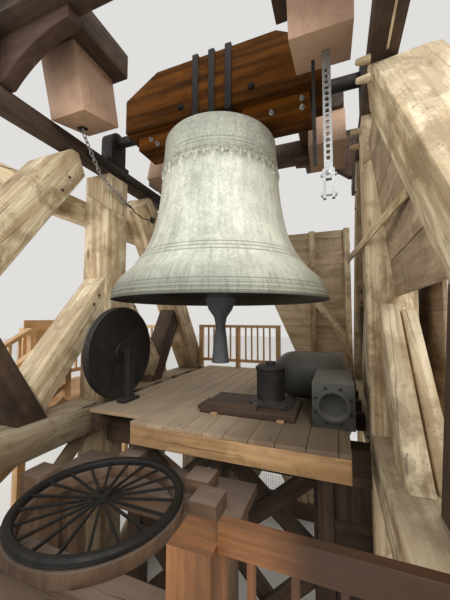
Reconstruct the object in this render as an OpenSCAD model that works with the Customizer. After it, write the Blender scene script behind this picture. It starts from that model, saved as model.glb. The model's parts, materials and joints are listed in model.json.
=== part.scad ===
// Open timber bell frame with one great bell, in millimetres.
// X runs along the headstock, Y is the way the bell swings, Z is up.
// The origin is on the ground, under the middle of the bell.

/* [Levels] */
// Top of the deck boards above the ground
deck_z = 2900; // [2600:10:3400]
// Lip of the bell above the deck
lip_over_deck = 1300; // [1100:10:1600]
// Swing axis above the lip
axle_over_lip = 2450; // [2400:5:2600]
// Underside of the top plates below the swing axis
plate_drop = 550; // [500:10:600]
// Underside of the cross ties above the swing axis
tie_rise = 110; // [100:10:160]
// Underside of the crown beams above the swing axis
crown_rise = 250; // [240:10:290]

/* [Side bents] */
// Distance between the inner faces of the two bents
bent_gap = 3320; // [3200:10:3600]
// Thickness of a bent's timbers, across the frame
bent_t = 440; // [360:10:480]
// Depth of a bearing post, along the bent
post_d = 400; // [320:10:460]
// Length of a bent along the ground
bent_l = 6200; // [6200:20:6600]
// Height of the sole beams
sole_h = 300; // [240:10:340]
// Height of the side girts
girt_h = 360; // [300:10:420]
// Width of the raking struts
strut_w = 410; // [360:10:440]
// Slope of the raking struts, in degrees
strut_slope = 56.5; // [56:0.5:58]
// Middle of a raking strut's head in front of its post
strut_head = 500; // [470:10:540]
// Slope of the front right strut, which also leans outwards, in degrees
lean_slope = 58.5; // [58:0.5:59]
// Outward lean of that strut, in degrees
lean_out = 7; // [6:0.5:8]
// Width of the lower struts
foot_w = 330; // [300:10:360]
// Slope of the lower struts, in degrees
foot_slope = 52; // [50:1:54]
// Drop of the front right lower struts below the others
foot_drop = 430; // [400:10:460]
// Slope of the prop under the leaning strut, in degrees
prop_slope = 77.5; // [76:0.5:79]
// Foot of that prop in front of its post
prop_foot = 1290; // [1260:10:1320]
// Width of the prop
prop_w = 280; // [240:10:300]
// Width of the counter braces
counter_w = 300; // [240:10:320]
// Slope of the counter braces, in degrees
counter_slope = 60; // [58:1:62]
// Length of a top plate
plate_l = 3900; // [3800:20:4000]
// Height of a top plate
plate_h = 180; // [160:10:220]
// Width of a top plate
plate_w = 220; // [200:10:260]
// Height of the scarf in the bearing posts above the lip
scarf_rise = 1370; // [1300:10:1420]
// How much the scarf climbs from the inner to the outer face
scarf_climb = 280; // [200:10:300]

/* [Cross frames] */
// Height and width of the cross girts and cross soles
cross_t = 300; // [260:10:320]
// Distance of the front and back frames from the middle
cross_y = 2900; // [2880:10:2940]
// How far the cross girts reach past the bents
girt_reach = 520; // [500:10:600]
// Side of a post in the middle frame
stud_t = 200; // [160:10:240]
// Distance between the posts of the middle frame
stud_pitch = 1200; // [1100:10:1300]
// Height of the middle frame's rail above the ground
rail_z = 1300; // [1100:10:1400]
// Width of a crossed brace
brace_w = 180; // [140:10:200]
// Thickness of one crossed brace
brace_t = 80; // [60:5:90]

/* [Deck] */
// Thickness of the boards
board_t = 40; // [30:5:60]
// Front edge of the deck from the middle
deck_front = 830; // [780:10:860]
// Front end of the two side boards from the middle
side_front = 660; // [620:10:700]
// Back edge of the deck from the back ends of the bents
deck_back = 240; // [200:10:300]
// Left edge of the deck from the middle
deck_left = 1430; // [1400:10:1500]
// Right edge of the deck from the middle
deck_right = 1460; // [1420:10:1500]
// Left end of the front edge beam from the middle
beam_left = 700; // [660:10:740]
// Height of the joists and of the front edge beam
joist_h = 200; // [160:10:220]
// Width of a joist
joist_w = 120; // [80:10:160]
// Height of the middle girt
middle_h = 360; // [300:10:400]
// Width of the gallery outside the left bent
gallery_w = 1100; // [1000:10:1200]
// Front end of the gallery from the middle
gallery_front = 370; // [340:10:400]
// Back end of the gallery from the middle
gallery_back = 2100; // [2000:50:2600]
// Width of the stair, over its strings
stair_w = 780; // [700:10:860]
// Riser of the stair
riser = 170; // [160:5:180]
// Going of the stair
going = 280; // [260:5:300]
// Height of the wooden railings
railing_h = 940; // [900:10:1100]

/* [Overhead] */
// Width of the hanging posts
pendant_t = 490; // [460:10:500]
// Depth of the hanging posts
pendant_d = 550; // [500:10:560]
// Distance of the hanging posts from the middle, along the headstock
pendant_x = 1335; // [1330:5:1345]
// How far the pairs of hanging posts stand off the middle, to the left
pendant_off = 35; // [30:5:40]
// Front bottom edge of the hanging posts from the middle, along the swing
pendant_y = 1160; // [1150:5:1180]
// How far the hanging posts reach below the swing axis
pendant_drop = 410; // [400:5:420]
// Lean of the hanging posts, in degrees
pendant_lean = 14; // [12:1:15]
// Distance of the cross ties from the middle
tie_y = 1700; // [1700:10:1720]
// Side of the cross ties and their short posts
tie_t = 300; // [260:10:320]
// Outer ends of the crown beams from the middle
crown_end = 2500; // [2200:20:2800]
// Inner ends of the crown beams from the middle
crown_in = 695; // [690:5:720]
// Height of the crown beams
crown_h = 300; // [260:10:320]
// Width of the crown beams
crown_w = 657; // [640:1:670]
// Radius of the arch braces' curve
arch_r = 1340; // [1300:10:1400]
// Length of the arch braces along the cross ties
arch_reach = 900; // [860:10:940]
// Thickness of an arch brace
arch_t = 140; // [120:10:160]

/* [Bell] */
// Diameter of the bell at its lip
lip_d = 2610; // [2560:5:2640]
// Height of the shoulder above the lip
shoulder_h = 1960; // [1900:5:2000]
// Thickness of the wall at the waist
waist_t = 84; // [70:1:100]
// Thickness at the sound bow
bow_t = 190; // [170:1:200]
// Height of the crown above the lip
crown_top = 2080; // [2060:5:2100]

/* [Deck gear] */
// Length of the low plinth on the deck
plinth_l = 1090; // [1000:10:1150]
// Height of the plinth
plinth_h = 80; // [60:5:120]
// Diameter of the winch drum
drum_d = 340; // [300:10:360]
// Height of the winch drum
drum_h = 440; // [400:10:500]
// Diameter of the drive disc
disc_d = 1200; // [1100:10:1220]
// Diameter of the round drive housing
hood_d = 620; // [560:10:660]

/* [Headstock] */
// Length of the headstock
stock_l = 2600; // [2500:10:2640]
// Width of the headstock
stock_w = 600; // [520:10:600]
// Underside of the headstock below the swing axis
stock_drop = 120; // [110:5:130]
// Height of the headstock
stock_h = 750; // [700:10:760]
// Diameter of the gudgeons
gudgeon_d = 150; // [120:2:160]

/* [Clapper] */
// Diameter of the clapper's ball
ball_d = 380; // [340:5:400]
// Diameter of the clapper's pin
pin_d = 70; // [60:1:80]
// Height of the clapper's pin above the lip
pin_h = 1750; // [1700:5:1780]
// How far the clapper's tail reaches below the lip
tail_drop = 760; // [700:5:800]
// Height of the ball's middle above the lip
ball_z = 20; // [0:5:40]

/* [Wheel well] */
// Outer diameter of the curb under the wheel
curb_d = 1320; // [1280:10:1340]
// Diameter of the hole in the curb
curb_hole = 1140; // [1100:10:1160]
// Outer diameter of the spoked wheel
wheel_d = 1310; // [1200:10:1360]
// Place of the wheel's middle across the frame
wheel_x = -440; // [-480:10:-400]
// Place of the wheel's middle in front of the bell
wheel_y = -1480; // [-1520:10:-1440]
// Number of spokes
spokes = 20; // [16:1:24]
// Side of the well's timbers
well_t = 220; // [180:10:240]
// Distance of the well's two soles
well_gap = 1730; // [1700:10:1760]
// Side of the guard rail's newel
newel_t = 160; // [140:5:180]
// Height of the guard rail above the girts' undersides
guard_h = 810; // [760:10:860]

/* [Side walls] */
// Front end of the right wall's rails and boards from the middle
wall_front = 440; // [400:10:480]
// Back end of the right wall's boards from the back ends of the bents
wall_back = 600; // [500:10:700]
// Height of the joint between its lower and upper boards over the lip
wall_joint = 1300; // [1200:10:1400]
// Gap at that joint
wall_gap = 120; // [80:5:140]
// Ends of the side rails from the ends of the bents
rail_back = 1400; // [1300:10:1500]
// Height of the left rail's underside over the lip
left_rail_rise = 1235; // [1150:5:1300]
// Height of the left rail
left_rail_h = 300; // [240:10:340]
// Depth of the left rail
left_rail_d = 250; // [200:10:280]

/* [Hidden] */
$fn = 48;
play = 0.5;
lip_z = deck_z + lip_over_deck;
axle_z = lip_z + axle_over_lip;
plate_z = axle_z - plate_drop;
plate_top = plate_z + plate_h;
girt_top = deck_z - board_t;
girt_z = girt_top - girt_h;
cross_z = girt_z - cross_t;
joist_z = girt_top - joist_h;
middle_z = joist_z - middle_h;
tie_z = axle_z + tie_rise;
tie_top = tie_z + tie_t;
crown_z = axle_z + crown_rise;
in_x = bent_gap / 2;
mid_x = in_x + bent_t / 2;
out_x = in_x + bent_t;
plate_x = in_x + plate_w;
post_y = post_d / 2;
end_y = bent_l / 2;
deck_end = end_y - deck_back;
rail_t = 120;
end_post = 180;
scarf_z = lip_z + scarf_rise;
strut_y = post_y + strut_head;
foot_z = lip_z + 100;
counter_y = post_y + 950;
stock_z = axle_z - stock_drop;
pendant_z = axle_z - pendant_drop;
tone_oak = [0.66, 0.52, 0.36];
tone_dark = [0.36, 0.26, 0.18];
tone_new = [0.80, 0.66, 0.45];
tone_iron = [0.18, 0.18, 0.19];
tone_grey = [0.50, 0.52, 0.50];
tone_bronze = [0.62, 0.64, 0.56];

// A box from its lowest to its highest corner
module block(low, high) {
    translate(low) cube(high - low);
}

// The same shape on both sides of the frame
module both_x() {
    children();
    mirror([1, 0, 0]) children();
}

// The same shape at the front and at the back
module both_y() {
    children();
    mirror([0, 1, 0]) children();
}

// A flat shape drawn in Y and Z, made thick from x0 to x1
module thick_x(x0, x1) {
    translate([x0, 0, 0]) rotate([90, 0, 90]) linear_extrude(x1 - x0) children();
}

// A flat shape drawn in X and Z, made thick from y0 to y1
module thick_y(y0, y1) {
    translate([0, y1, 0]) rotate([90, 0, 0]) linear_extrude(y1 - y0) children();
}

// A long straight bar through a point of a flat drawing
module bar(at, slope, w) {
    translate(at) rotate(slope) square([3 * bent_l, w], center = true);
}

// Two braces that cross side by side in a bay, drawn flat from its low to its high corner
module brace_up(low, high) {
    span = high - low;
    intersection() {
        bar((low + high) / 2, atan2(span[1], span[0]), brace_w);
        translate(low) square(span);
    }
}

module brace_down(low, high) {
    span = high - low;
    intersection() {
        bar((low + high) / 2, -atan2(span[1], span[0]), brace_w);
        translate(low) square(span);
    }
}

module cross_bay_y(low, high, x) {
    thick_x(x - brace_t - play / 2, x - play / 2) brace_up(low, high);
    thick_x(x + play / 2, x + brace_t + play / 2) brace_down(low, high);
}

module cross_bay_x(low, high, y) {
    thick_y(y - brace_t - play / 2, y - play / 2) brace_up(low, high);
    thick_y(y + play / 2, y + brace_t + play / 2) brace_down(low, high);
}

module side_soles() {
    color(tone_dark) both_x() block([in_x, -end_y, 0], [out_x, end_y, sole_h]);
}

module cross_soles() {
    color(tone_dark) for (y = [-cross_y, 0, cross_y])
        block([-in_x, y - cross_t / 2, 0], [in_x, y + cross_t / 2, sole_h]);
}

module corner_posts() {
    color(tone_oak) both_x() both_y() block([mid_x - end_post, cross_y - cross_t / 2, sole_h],
        [mid_x + end_post, cross_y + cross_t / 2, cross_z]);
}

// Bearing posts, each with a scarf that climbs outwards and a head above it
module bearing_posts() {
    outer_z = scarf_z + scarf_climb;
    color(tone_oak) both_x() thick_y(-post_y, post_y) {
        polygon([[in_x, sole_h], [out_x, sole_h], [out_x, outer_z], [in_x, scarf_z]]);
        polygon([[in_x, scarf_z + play], [out_x, outer_z + play], [out_x, plate_z], [in_x, plate_z]]);
    }
}

module cross_girts() {
    stub = 150;
    color(tone_oak) {
        block([-out_x - stub, cross_y - cross_t / 2, cross_z], [out_x + stub, cross_y + cross_t / 2, girt_z]);
        block([-out_x - stub, -cross_y - cross_t / 2, cross_z], [out_x + girt_reach, -cross_y + cross_t / 2, girt_z]);
    }
}

module side_girts() {
    color(tone_oak) both_x() both_y() block([in_x, post_y, girt_z], [out_x, end_y, girt_top]);
}

module middle_girt() {
    color(tone_dark) block([-in_x, -130, middle_z], [in_x, 130, joist_z]);
}

module middle_posts() {
    color(tone_dark) for (x = [-stud_pitch, 0, stud_pitch])
        block([x - stud_t / 2, -stud_t / 2, sole_h], [x + stud_t / 2, stud_t / 2, middle_z]);
}

module middle_rails() {
    color(tone_dark) both_x()
        block([stud_t / 2, -70, rail_z], [stud_pitch - stud_t / 2, 70, rail_z + 150]);
}

module middle_braces() {
    x0 = stud_t / 2;
    x1 = stud_pitch - stud_t / 2;
    color(tone_dark) both_x() {
        cross_bay_x([x0, rail_z + 150], [x1, middle_z], 0);
        cross_bay_x([x0, sole_h], [x1, rail_z], 0);
    }
}

module side_braces() {
    color(tone_oak) both_x() both_y() cross_bay_y([post_y, sole_h], [cross_y - cross_t / 2, girt_z], mid_x);
}

back_x = 650;

module back_posts() {
    color(tone_oak) both_x() block([back_x - stud_t / 2, cross_y - stud_t / 2, sole_h],
        [back_x + stud_t / 2, cross_y + stud_t / 2, cross_z]);
}

module back_braces() {
    low = [back_x + stud_t / 2, sole_h];
    high = [mid_x - end_post, cross_z];
    color(tone_oak) {
        cross_bay_x([-low[0] + stud_t, sole_h], [low[0] - stud_t, cross_z], cross_y);
        both_x() thick_y(cross_y - 60, cross_y + 60) brace_up(low, high);
    }
}

// Joists across the frame, and bearers that carry the front of the deck over the middle girt
module deck_joists() {
    first = 500;
    color(tone_dark) {
        last = deck_end - joist_w / 2;
        for (y = [first : (last - first) / 4 : last])
            block([-in_x, y - joist_w / 2, joist_z], [in_x, y + joist_w / 2, girt_top]);
        for (x = [-deck_left + joist_w / 2, -beam_left + joist_w, 430, deck_right - joist_w])
            block([x - joist_w / 2, -deck_front + 180, joist_z], [x + joist_w / 2, first - joist_w / 2 - play, girt_top]);
    }
}

module deck_edge_beam() {
    color(tone_new) block([-beam_left, -deck_front, joist_z], [deck_right, -deck_front + 180, girt_top]);
}

module deck_boards() {
    color(tone_new) {
        block([-beam_left, -deck_front, girt_top], [deck_right, deck_end, deck_z]);
        block([-deck_left, -side_front, girt_top], [-beam_left + 1, deck_end, deck_z]);
    }
}

gallery_x = -out_x - gallery_w;
stair_x = -out_x - 100;
treads = 5;
low_z = deck_z - (treads + 1) * riser;
stair_end = -gallery_front - treads * going;
stair_run = (treads + 1) * going;
joist_inset = 60;

// A floor of boards on five joists between two corners
module landing(low, high, z) {
    block([low[0], low[1], z - board_t], [high[0], high[1], z]);
    for (y = [low[1] + joist_inset : (high[1] - low[1] - 2 * joist_inset) / 4 : high[1] - joist_inset + 1])
        block([low[0], y - 50, z - board_t - joist_h], [high[0], y + 50, z - board_t]);
}

module gallery() {
    color(tone_new) {
        landing([gallery_x, -gallery_front], [-out_x, gallery_back], deck_z);
        landing([stair_x - stair_w, -end_y + 50], [stair_x, stair_end + 170], low_z);
    }
}

module gallery_posts() {
    t = 120;
    top = girt_top - joist_h;
    low_top = low_z - board_t - joist_h;
    color(tone_new) {
        for (y = [-gallery_front, (gallery_back - gallery_front - t) / 2, gallery_back - t])
            block([gallery_x, y, 0], [gallery_x + t, y + t, top]);
        for (x = [stair_x - stair_w, stair_x - t], y = [-end_y + 50, stair_end + 50])
            block([x, y, 0], [x + t, y + t, low_top]);
    }
}

// A level wooden railing along Y, on a floor at height z
module railing(x, y0, y1, z, bays) {
    step = (y1 - y0) / bays;
    for (i = [0 : bays]) block([x - 45, y0 + i * step - 45, z], [x + 45, y0 + i * step + 45, z + railing_h - 60]);
    block([x - 55, y0 - 45, z + railing_h - 60], [x + 55, y1 + 45, z + railing_h]);
    for (i = [0 : bays - 1]) {
        block([x - 30, y0 + i * step + 45, z + 120], [x + 30, y0 + (i + 1) * step - 45, z + 180]);
        n = floor((step - 90) / 120);
        for (k = [1 : n - 1]) {
            y = y0 + i * step + 45 + k * (step - 90) / n;
            block([x - 16, y - 16, z + 180], [x + 16, y + 16, z + railing_h - 60]);
        }
    }
}

// A railing that climbs from one floor to the next
module climbing_railing(x, y0, z0, y1, z1) {
    climb = (z1 - z0) / (y1 - y0);
    h = railing_h;
    n = floor((y1 - y0) / 125);
    thick_x(x - 55, x + 55) polygon([[y0 - 45, z0 + h - 60], [y0, z0 + h - 60], [y1, z1 + h - 60],
        [y1 + 90, z1 + h - 60], [y1 + 90, z1 + h], [y1, z1 + h], [y0, z0 + h], [y0 - 45, z0 + h]]);
    thick_x(x - 30, x + 30) polygon([[y0, z0 + 120], [y1, z1 + 120], [y1, z1 + 180], [y0, z0 + 180]]);
    block([x - 45, y0 - 45, z0], [x + 45, y0 + 45, z0 + h - 60]);
    for (k = [1 : n - 1]) {
        y = y0 + k * (y1 - y0) / n;
        z = z0 + climb * (y - y0);
        block([x - 16, y - 16, z + 150], [x + 16, y + 16, z + h - 30]);
    }
}

module gallery_railing() {
    x = gallery_x + 60;
    far_y = gallery_back - 60;
    near_y = -gallery_front + 60;
    foot_y = -gallery_front - stair_run - 45;
    string_x = stair_x - stair_w + 25;
    color(tone_new) {
        railing(x, near_y, far_y, deck_z, 3);
        rotate(90) railing(far_y, out_x + 60, -x, deck_z, 1);
        climbing_railing(string_x, foot_y, low_z, -gallery_front, deck_z);
        block([string_x - 45, -gallery_front, deck_z], [string_x + 45, -gallery_front + 90, deck_z + railing_h - 60]);
        block([x, near_y - 30, deck_z + railing_h - 60], [string_x + 45, near_y + 30, deck_z + railing_h]);
        railing(string_x, -end_y + 110, foot_y, low_z, 1);
        climbing_railing(stair_x - 25, foot_y, low_z, -gallery_front, deck_z);
        block([stair_x - 70, -gallery_front, deck_z], [stair_x + 20, -gallery_front + 90, deck_z + railing_h - 60]);
    }
}

module stair_strings() {
    depth = 290;
    color(tone_new) for (x = [stair_x - stair_w, stair_x - 50])
        thick_x(x, x + 50) polygon([[-gallery_front, deck_z], [-gallery_front, deck_z - depth],
            [-gallery_front - stair_run + depth * going / riser, low_z], [-gallery_front - stair_run, low_z]]);
}

module stair_treads() {
    nose = 20;
    color(tone_new) for (k = [1 : treads])
        block([stair_x - stair_w + 50, -gallery_front - k * going - nose, deck_z - k * riser - board_t],
            [stair_x - 50, -gallery_front - (k - 1) * going, deck_z - k * riser]);
}

module back_railing() {
    color(tone_new) rotate(90) railing(deck_end - 60, -200, in_x - 60, deck_z, 2);
}

// Edges of an upright raking strut at a height: the low one faces its post
function strut_low(z) = strut_y - strut_w / 2 / sin(strut_slope) + (plate_z - z) / tan(strut_slope);
function strut_high(z) = strut_low(z) + strut_w / sin(strut_slope);
// Edge of a counter brace that faces the post
function counter_edge(z) = counter_y - counter_w / 2 / sin(counter_slope) + (z - girt_top) / tan(counter_slope);
crop_in = 250;
crop_out = 200;

module upright_strut() {
    thick_x(in_x, out_x) polygon([[strut_low(girt_top), girt_top], [strut_high(girt_top), girt_top],
        [strut_high(plate_z - crop_out), plate_z - crop_out], [strut_y + 140, plate_z], [strut_y + 30, plate_z],
        [strut_low(plate_z - crop_in), plate_z - crop_in]]);
}

// The front right strut, before its foot is cut: it leans outwards as well
module leaning_bar() {
    half = strut_w / 2 / sin(lean_slope);
    drop = plate_z - girt_z + 400;
    run = drop / tan(lean_slope);
    mirror([0, 1, 0]) translate([in_x, 0, plate_z]) rotate([0, -lean_out, 0]) thick_x(0, bent_t)
        polygon([[strut_y - half + run, -drop], [strut_y + half + run, -drop],
            [strut_y + half + crop_out / tan(lean_slope), -crop_out], [strut_y + 140, 0], [strut_y + 30, 0],
            [strut_y - half + crop_in / tan(lean_slope), -crop_in]]);
}

module raking_struts() {
    color(tone_oak) {
        upright_strut();
        mirror([1, 0, 0]) both_y() upright_strut();
        difference() {
            intersection() {
                leaning_bar();
                block([in_x, -end_y, girt_z], [out_x + girt_reach, -post_y, plate_z]);
            }
            block([in_x - 1, -end_y - 1, girt_z - 1], [out_x, -post_y, girt_top]);
        }
    }
}

// A lower strut from its post to the side girt, from x0 to x1, with its head at a height
module foot_strut(x0, x1, head) {
    thick_x(x0, x1) intersection() {
        bar([post_y, head], -foot_slope, foot_w);
        translate([post_y, girt_top]) square([prop_foot, plate_z - girt_top]);
    }
}

module lower_struts() {
    inset = 30;
    split = in_x + 280;
    color(tone_oak) {
        both_y() mirror([1, 0, 0]) seated_strut(in_x + inset, out_x - inset);
        seated_strut(in_x + inset, out_x - inset);
        mirror([0, 1, 0]) {
            foot_strut(in_x + 110, split - 10, foot_z - foot_drop);
            foot_strut(split + 10, out_x - 20, foot_z - foot_drop - 60);
        }
    }
}

// A lower strut that ends on its counter brace
module seated_strut(x0, x1) {
    thick_x(x0, x1) intersection() {
        bar([post_y, foot_z], -foot_slope, foot_w);
        polygon([[post_y, girt_top], [counter_edge(girt_top), girt_top], [counter_edge(plate_z), plate_z],
            [post_y, plate_z]]);
    }
}

module counter_brace() {
    inset = 60;
    thick_x(in_x + inset, out_x - inset) intersection() {
        bar([counter_y, girt_top], counter_slope, counter_w);
        polygon([[post_y, girt_top], [strut_low(girt_top), girt_top], [strut_low(plate_z), plate_z],
            [post_y, plate_z]]);
    }
}

// Counter braces, and the steeper prop under the leaning strut
module counter_braces() {
    color(tone_dark) {
        counter_brace();
        mirror([1, 0, 0]) both_y() counter_brace();
        difference() {
            mirror([0, 1, 0]) thick_x(in_x + 240, out_x - 20) intersection() {
                bar([post_y + prop_foot, girt_top], prop_slope, prop_w);
                translate([post_y, girt_top]) square([end_y, plate_z - 1800 - girt_top]);
            }
            leaning_bar();
        }
    }
}

// Boards that fill the gap between the front right post and its leaning strut
module spandrel_boarding() {
    half = strut_w / 2 / sin(lean_slope) + play;
    low = 1920;
    high = 300;
    color(tone_oak) mirror([0, 1, 0]) translate([in_x, 0, plate_z]) rotate([0, -lean_out, 0])
        thick_x(20, 20 + board_t) polygon([[post_y, -low], [strut_y - half + low / tan(lean_slope), -low],
            [strut_y - half + high / tan(lean_slope), -high], [post_y, -high]]);
}

module side_rails() {
    left_z = lip_z + left_rail_rise;
    rail_end = end_y - rail_back;
    color(tone_oak) {
        block([-out_x - left_rail_d, -rail_end, left_z], [-out_x, rail_end, left_z + left_rail_h]);
        for (z = [deck_z + 60, lip_z + 300, lip_z + 1500])
            block([out_x, -wall_front, z], [out_x + rail_t, rail_end, z + 180]);
    }
}

module top_plates() {
    color(tone_dark) both_x() block([in_x, -plate_l / 2, plate_z], [plate_x, plate_l / 2, plate_top]);
}

module bearings() {
    inset = 10;
    x0 = in_x + inset;
    x1 = plate_x - inset;
    color(tone_iron) both_x() difference() {
        union() {
            block([x0, -230, plate_top], [x1, 230, plate_top + 60]);
            block([x0, -150, plate_top], [x1, 150, axle_z]);
            translate([x0, 0, axle_z]) rotate([0, 90, 0]) cylinder(d = 300, h = x1 - x0);
        }
        translate([x0 - 1, 0, axle_z]) rotate([0, 90, 0]) cylinder(d = gudgeon_d + 0.1, h = x1 - x0 + 2);
    }
}

module upper_posts() {
    color(tone_dark) both_x() both_y()
        block([in_x, tie_y - tie_t / 2, plate_top], [plate_x, tie_y + tie_t / 2, tie_z]);
}

module cross_ties() {
    reach = plate_x + 370;
    color(tone_dark) both_y() block([-reach, tie_y - tie_t / 2, tie_z], [reach, tie_y + tie_t / 2, tie_top]);
}

module arch_braces() {
    head = 130;
    inner = in_x - arch_reach;
    y0 = tie_y - tie_t / 2;
    color(tone_dark) both_x() both_y() thick_y(y0, y0 + arch_t) difference() {
        translate([inner, plate_top]) square([arch_reach, tie_z - plate_top]);
        translate([inner - 55, tie_z - head - arch_r]) circle(arch_r, $fn = 96);
    }
}

// Beams along the swing, cogged over the cross ties, that carry the hanging posts
module crown_plates() {
    top = crown_z + crown_h;
    color(tone_dark) translate([-pendant_off, 0, 0]) both_x() both_y()
        thick_x(pendant_x + pendant_t / 2 - 15 - crown_w, pendant_x + pendant_t / 2 - 15)
            polygon([[crown_in, crown_z], [tie_y - tie_t / 2, crown_z], [tie_y - tie_t / 2, tie_top],
                [tie_y + tie_t / 2, tie_top], [tie_y + tie_t / 2, crown_z], [crown_end, crown_z],
                [crown_end, top], [crown_in, top]]);
}

// Underside of a hanging post at a distance from the middle
function pendant_under(y) = pendant_z + (pendant_y - y) * tan(pendant_lean);

module hanging_posts() {
    inner = pendant_y - pendant_d * cos(pendant_lean);
    climb = (crown_z - pendant_z) * tan(pendant_lean);
    back = (crown_z - pendant_under(inner)) * tan(pendant_lean);
    color(tone_new) translate([-pendant_off, 0, 0]) both_x() both_y()
        thick_x(pendant_x - pendant_t / 2, pendant_x + pendant_t / 2)
            polygon([[pendant_y, pendant_z], [pendant_y + climb, crown_z], [inner + back, crown_z],
                [inner, pendant_under(inner)]]);
}

module right_boarding() {
    x0 = out_x + rail_t;
    joint = lip_z + wall_joint;
    wall_end = end_y - wall_back;
    color(tone_oak) {
        block([x0, -wall_front, deck_z], [x0 + board_t, wall_end, joint]);
        block([x0, -wall_front, joint + wall_gap], [x0 + board_t, wall_end, plate_z]);
    }
}

// Outline of the back boarding: its left edge follows a slope
board_top = lip_z + 1650;
board_left = 690;
board_slope = 0.443;
function board_x(z) = board_left - (z - deck_z) * board_slope;
board_y = end_y - board_t;

module back_studs() {
    stud = 120;
    y0 = board_y - stud;
    color(tone_oak) {
        for (x = [910, in_x - stud / 2]) block([x - stud / 2, y0, girt_z], [x + stud / 2, board_y, board_top]);
        thick_y(y0, board_y) intersection() {
            bar([1230, lip_z - 190], -55, 170);
            translate([970 + play, deck_z]) square([in_x - stud - 970 - 2 * play, board_top - deck_z]);
        }
    }
}

module back_boarding() {
    color(tone_oak) thick_y(board_y, end_y) polygon([[board_left, girt_z], [in_x, girt_z], [in_x, board_top],
        [board_x(board_top), board_top], [board_left, deck_z]]);
}

module middle_boarding() {
    color(tone_oak) block([stud_pitch + stud_t / 2, -20, sole_h], [in_x, 20, middle_z]);
}

well_x = 420;
well_xs = [well_x - well_gap, well_x];
well_ys = [wheel_y - 480, wheel_y + 480];
bearer_z = girt_z - 300;
bearer_top = girt_z - 100;

module well_sole() {
    color(tone_dark) for (x = well_xs)
        block([x - 130, -cross_y + cross_t / 2, 0], [x + 130, -cross_t / 2, sole_h]);
}

module well_posts() {
    half = well_t / 2;
    end_y = wheel_y + 130;
    color(tone_oak) {
        for (x = well_xs, y = well_ys) block([x - half, y - half, sole_h], [x + half, y + half, bearer_z]);
        block([well_xs[0] - 120, end_y - 120, sole_h], [well_xs[0] + 120, end_y + 120, girt_z + 40]);
    }
}

// Bearers on the well's posts, a plank beside the back one, and blocks on them
module well_bearers() {
    half = well_t / 2;
    side = 120;
    x0 = well_xs[0] - half - 30;
    x1 = well_x + half + 90;
    plank_y = well_ys[1] + half;
    color(tone_new) {
        for (y = well_ys) block([x0, y - half, bearer_z], [x1, y + half, bearer_top]);
        block([x0, plank_y, bearer_top - 100], [x1, plank_y + 290, bearer_top]);
        for (at = [[-720, -710], [160, -860], [350, -1140]])
            block([at[0] - side, at[1] - side, bearer_top], [at[0] + side, at[1] + side, girt_z + 40]);
    }
}

module well_curb() {
    color(tone_new) translate([wheel_x, wheel_y, bearer_top]) difference() {
        cylinder(d = curb_d, h = girt_z - bearer_top, $fn = 96);
        translate([0, 0, -1]) cylinder(d = curb_hole, h = girt_z - bearer_top + 2, $fn = 96);
    }
}

module spoked_wheel() {
    r = wheel_d / 2;
    hub_r = 75;
    color(tone_iron) translate([wheel_x, wheel_y, girt_z]) {
        rotate_extrude($fn = 96) polygon([[r - 70, 20], [r - 52, 0], [r - 16, 0], [r, 18], [r, 46], [r - 18, 64],
            [r - 52, 64], [r - 70, 46]]);
        difference() {
            translate([0, 0, 22]) cylinder(r = hub_r, h = 62);
            translate([-22, -22, 21]) cube([44, 44, 64]);
        }
        for (i = [0 : spokes - 1]) rotate(i * 360 / spokes)
            block([hub_r - 8, -9, 26], [r - 60, 9, 44]);
    }
}

guard_y = -cross_y + 445;
guard_foot = girt_z + 200;

module guard_sill() {
    color(tone_dark) block([-in_x, guard_y - 100, girt_z], [in_x, guard_y + 100, guard_foot]);
}

module guard_rail() {
    x0 = 825;
    x1 = x0 + newel_t;
    half = newel_t / 2;
    top = girt_z + guard_h;
    color(tone_new) {
        block([x0, guard_y - half, guard_foot], [x1, guard_y + half, top - 70]);
        block([in_x, guard_y - 50, girt_top], [in_x + 100, guard_y + 50, top]);
        block([x1, guard_y - 20, top - 100], [in_x, guard_y + 20, top]);
        block([x1, guard_y - 20, girt_top + 60], [in_x, guard_y + 20, girt_top + 120]);
        for (x = [x1 + 110 : 140 : in_x - 60])
            block([x - 12, guard_y - 12, girt_top + 120], [x + 12, guard_y + 12, top - 100]);
    }
}

// Slotted bar that hangs from the front right hanging post, with a fork at its end
module hanger_bar() {
    y = pendant_y - 275;
    fork_z = pendant_z - 1000;
    tip_z = fork_z - 250;
    color(tone_grey) translate([pendant_x - pendant_off + 36, 0, 0]) {
        mirror([0, 1, 0]) thick_x(-35, 35) polygon([[y - 10, fork_z], [y + 10, fork_z],
            [y + 10, pendant_under(y + 10)], [y - 10, pendant_under(y - 10)]]);
        difference() {
            block([-48, -y - 25, tip_z], [48, -y + 25, fork_z]);
            block([-24, -y - 26, tip_z - 1], [24, -y + 26, fork_z - 85]);
        }
    }
}

plinth_x = -140;
plinth_y = -300;

// Low platform that carries the drum
module deck_plinth() {
    wide = 680;
    color(tone_dark)
        block([plinth_x, plinth_y, deck_z], [plinth_x + plinth_l, plinth_y + wide, deck_z + plinth_h]);
}

// Winch drum with two flanges on a base plate, on the plinth
module winch_drum() {
    r = drum_d / 2;
    plate = 20;
    color(tone_iron) translate([plinth_x + 740, plinth_y + 460, deck_z + plinth_h]) {
        block([-r - 40, -r - 130, 0], [r + 100, r + 40, plate]);
        rotate_extrude() polygon([[0, 0], [r + 30, 0], [r + 30, 25], [r, 35], [r, drum_h - 60], [r + 15, drum_h - 50],
            [r + 15, drum_h - 25], [r - 20, drum_h], [60, drum_h], [60, drum_h + 40], [0, drum_h + 40]]);
    }
}

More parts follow.
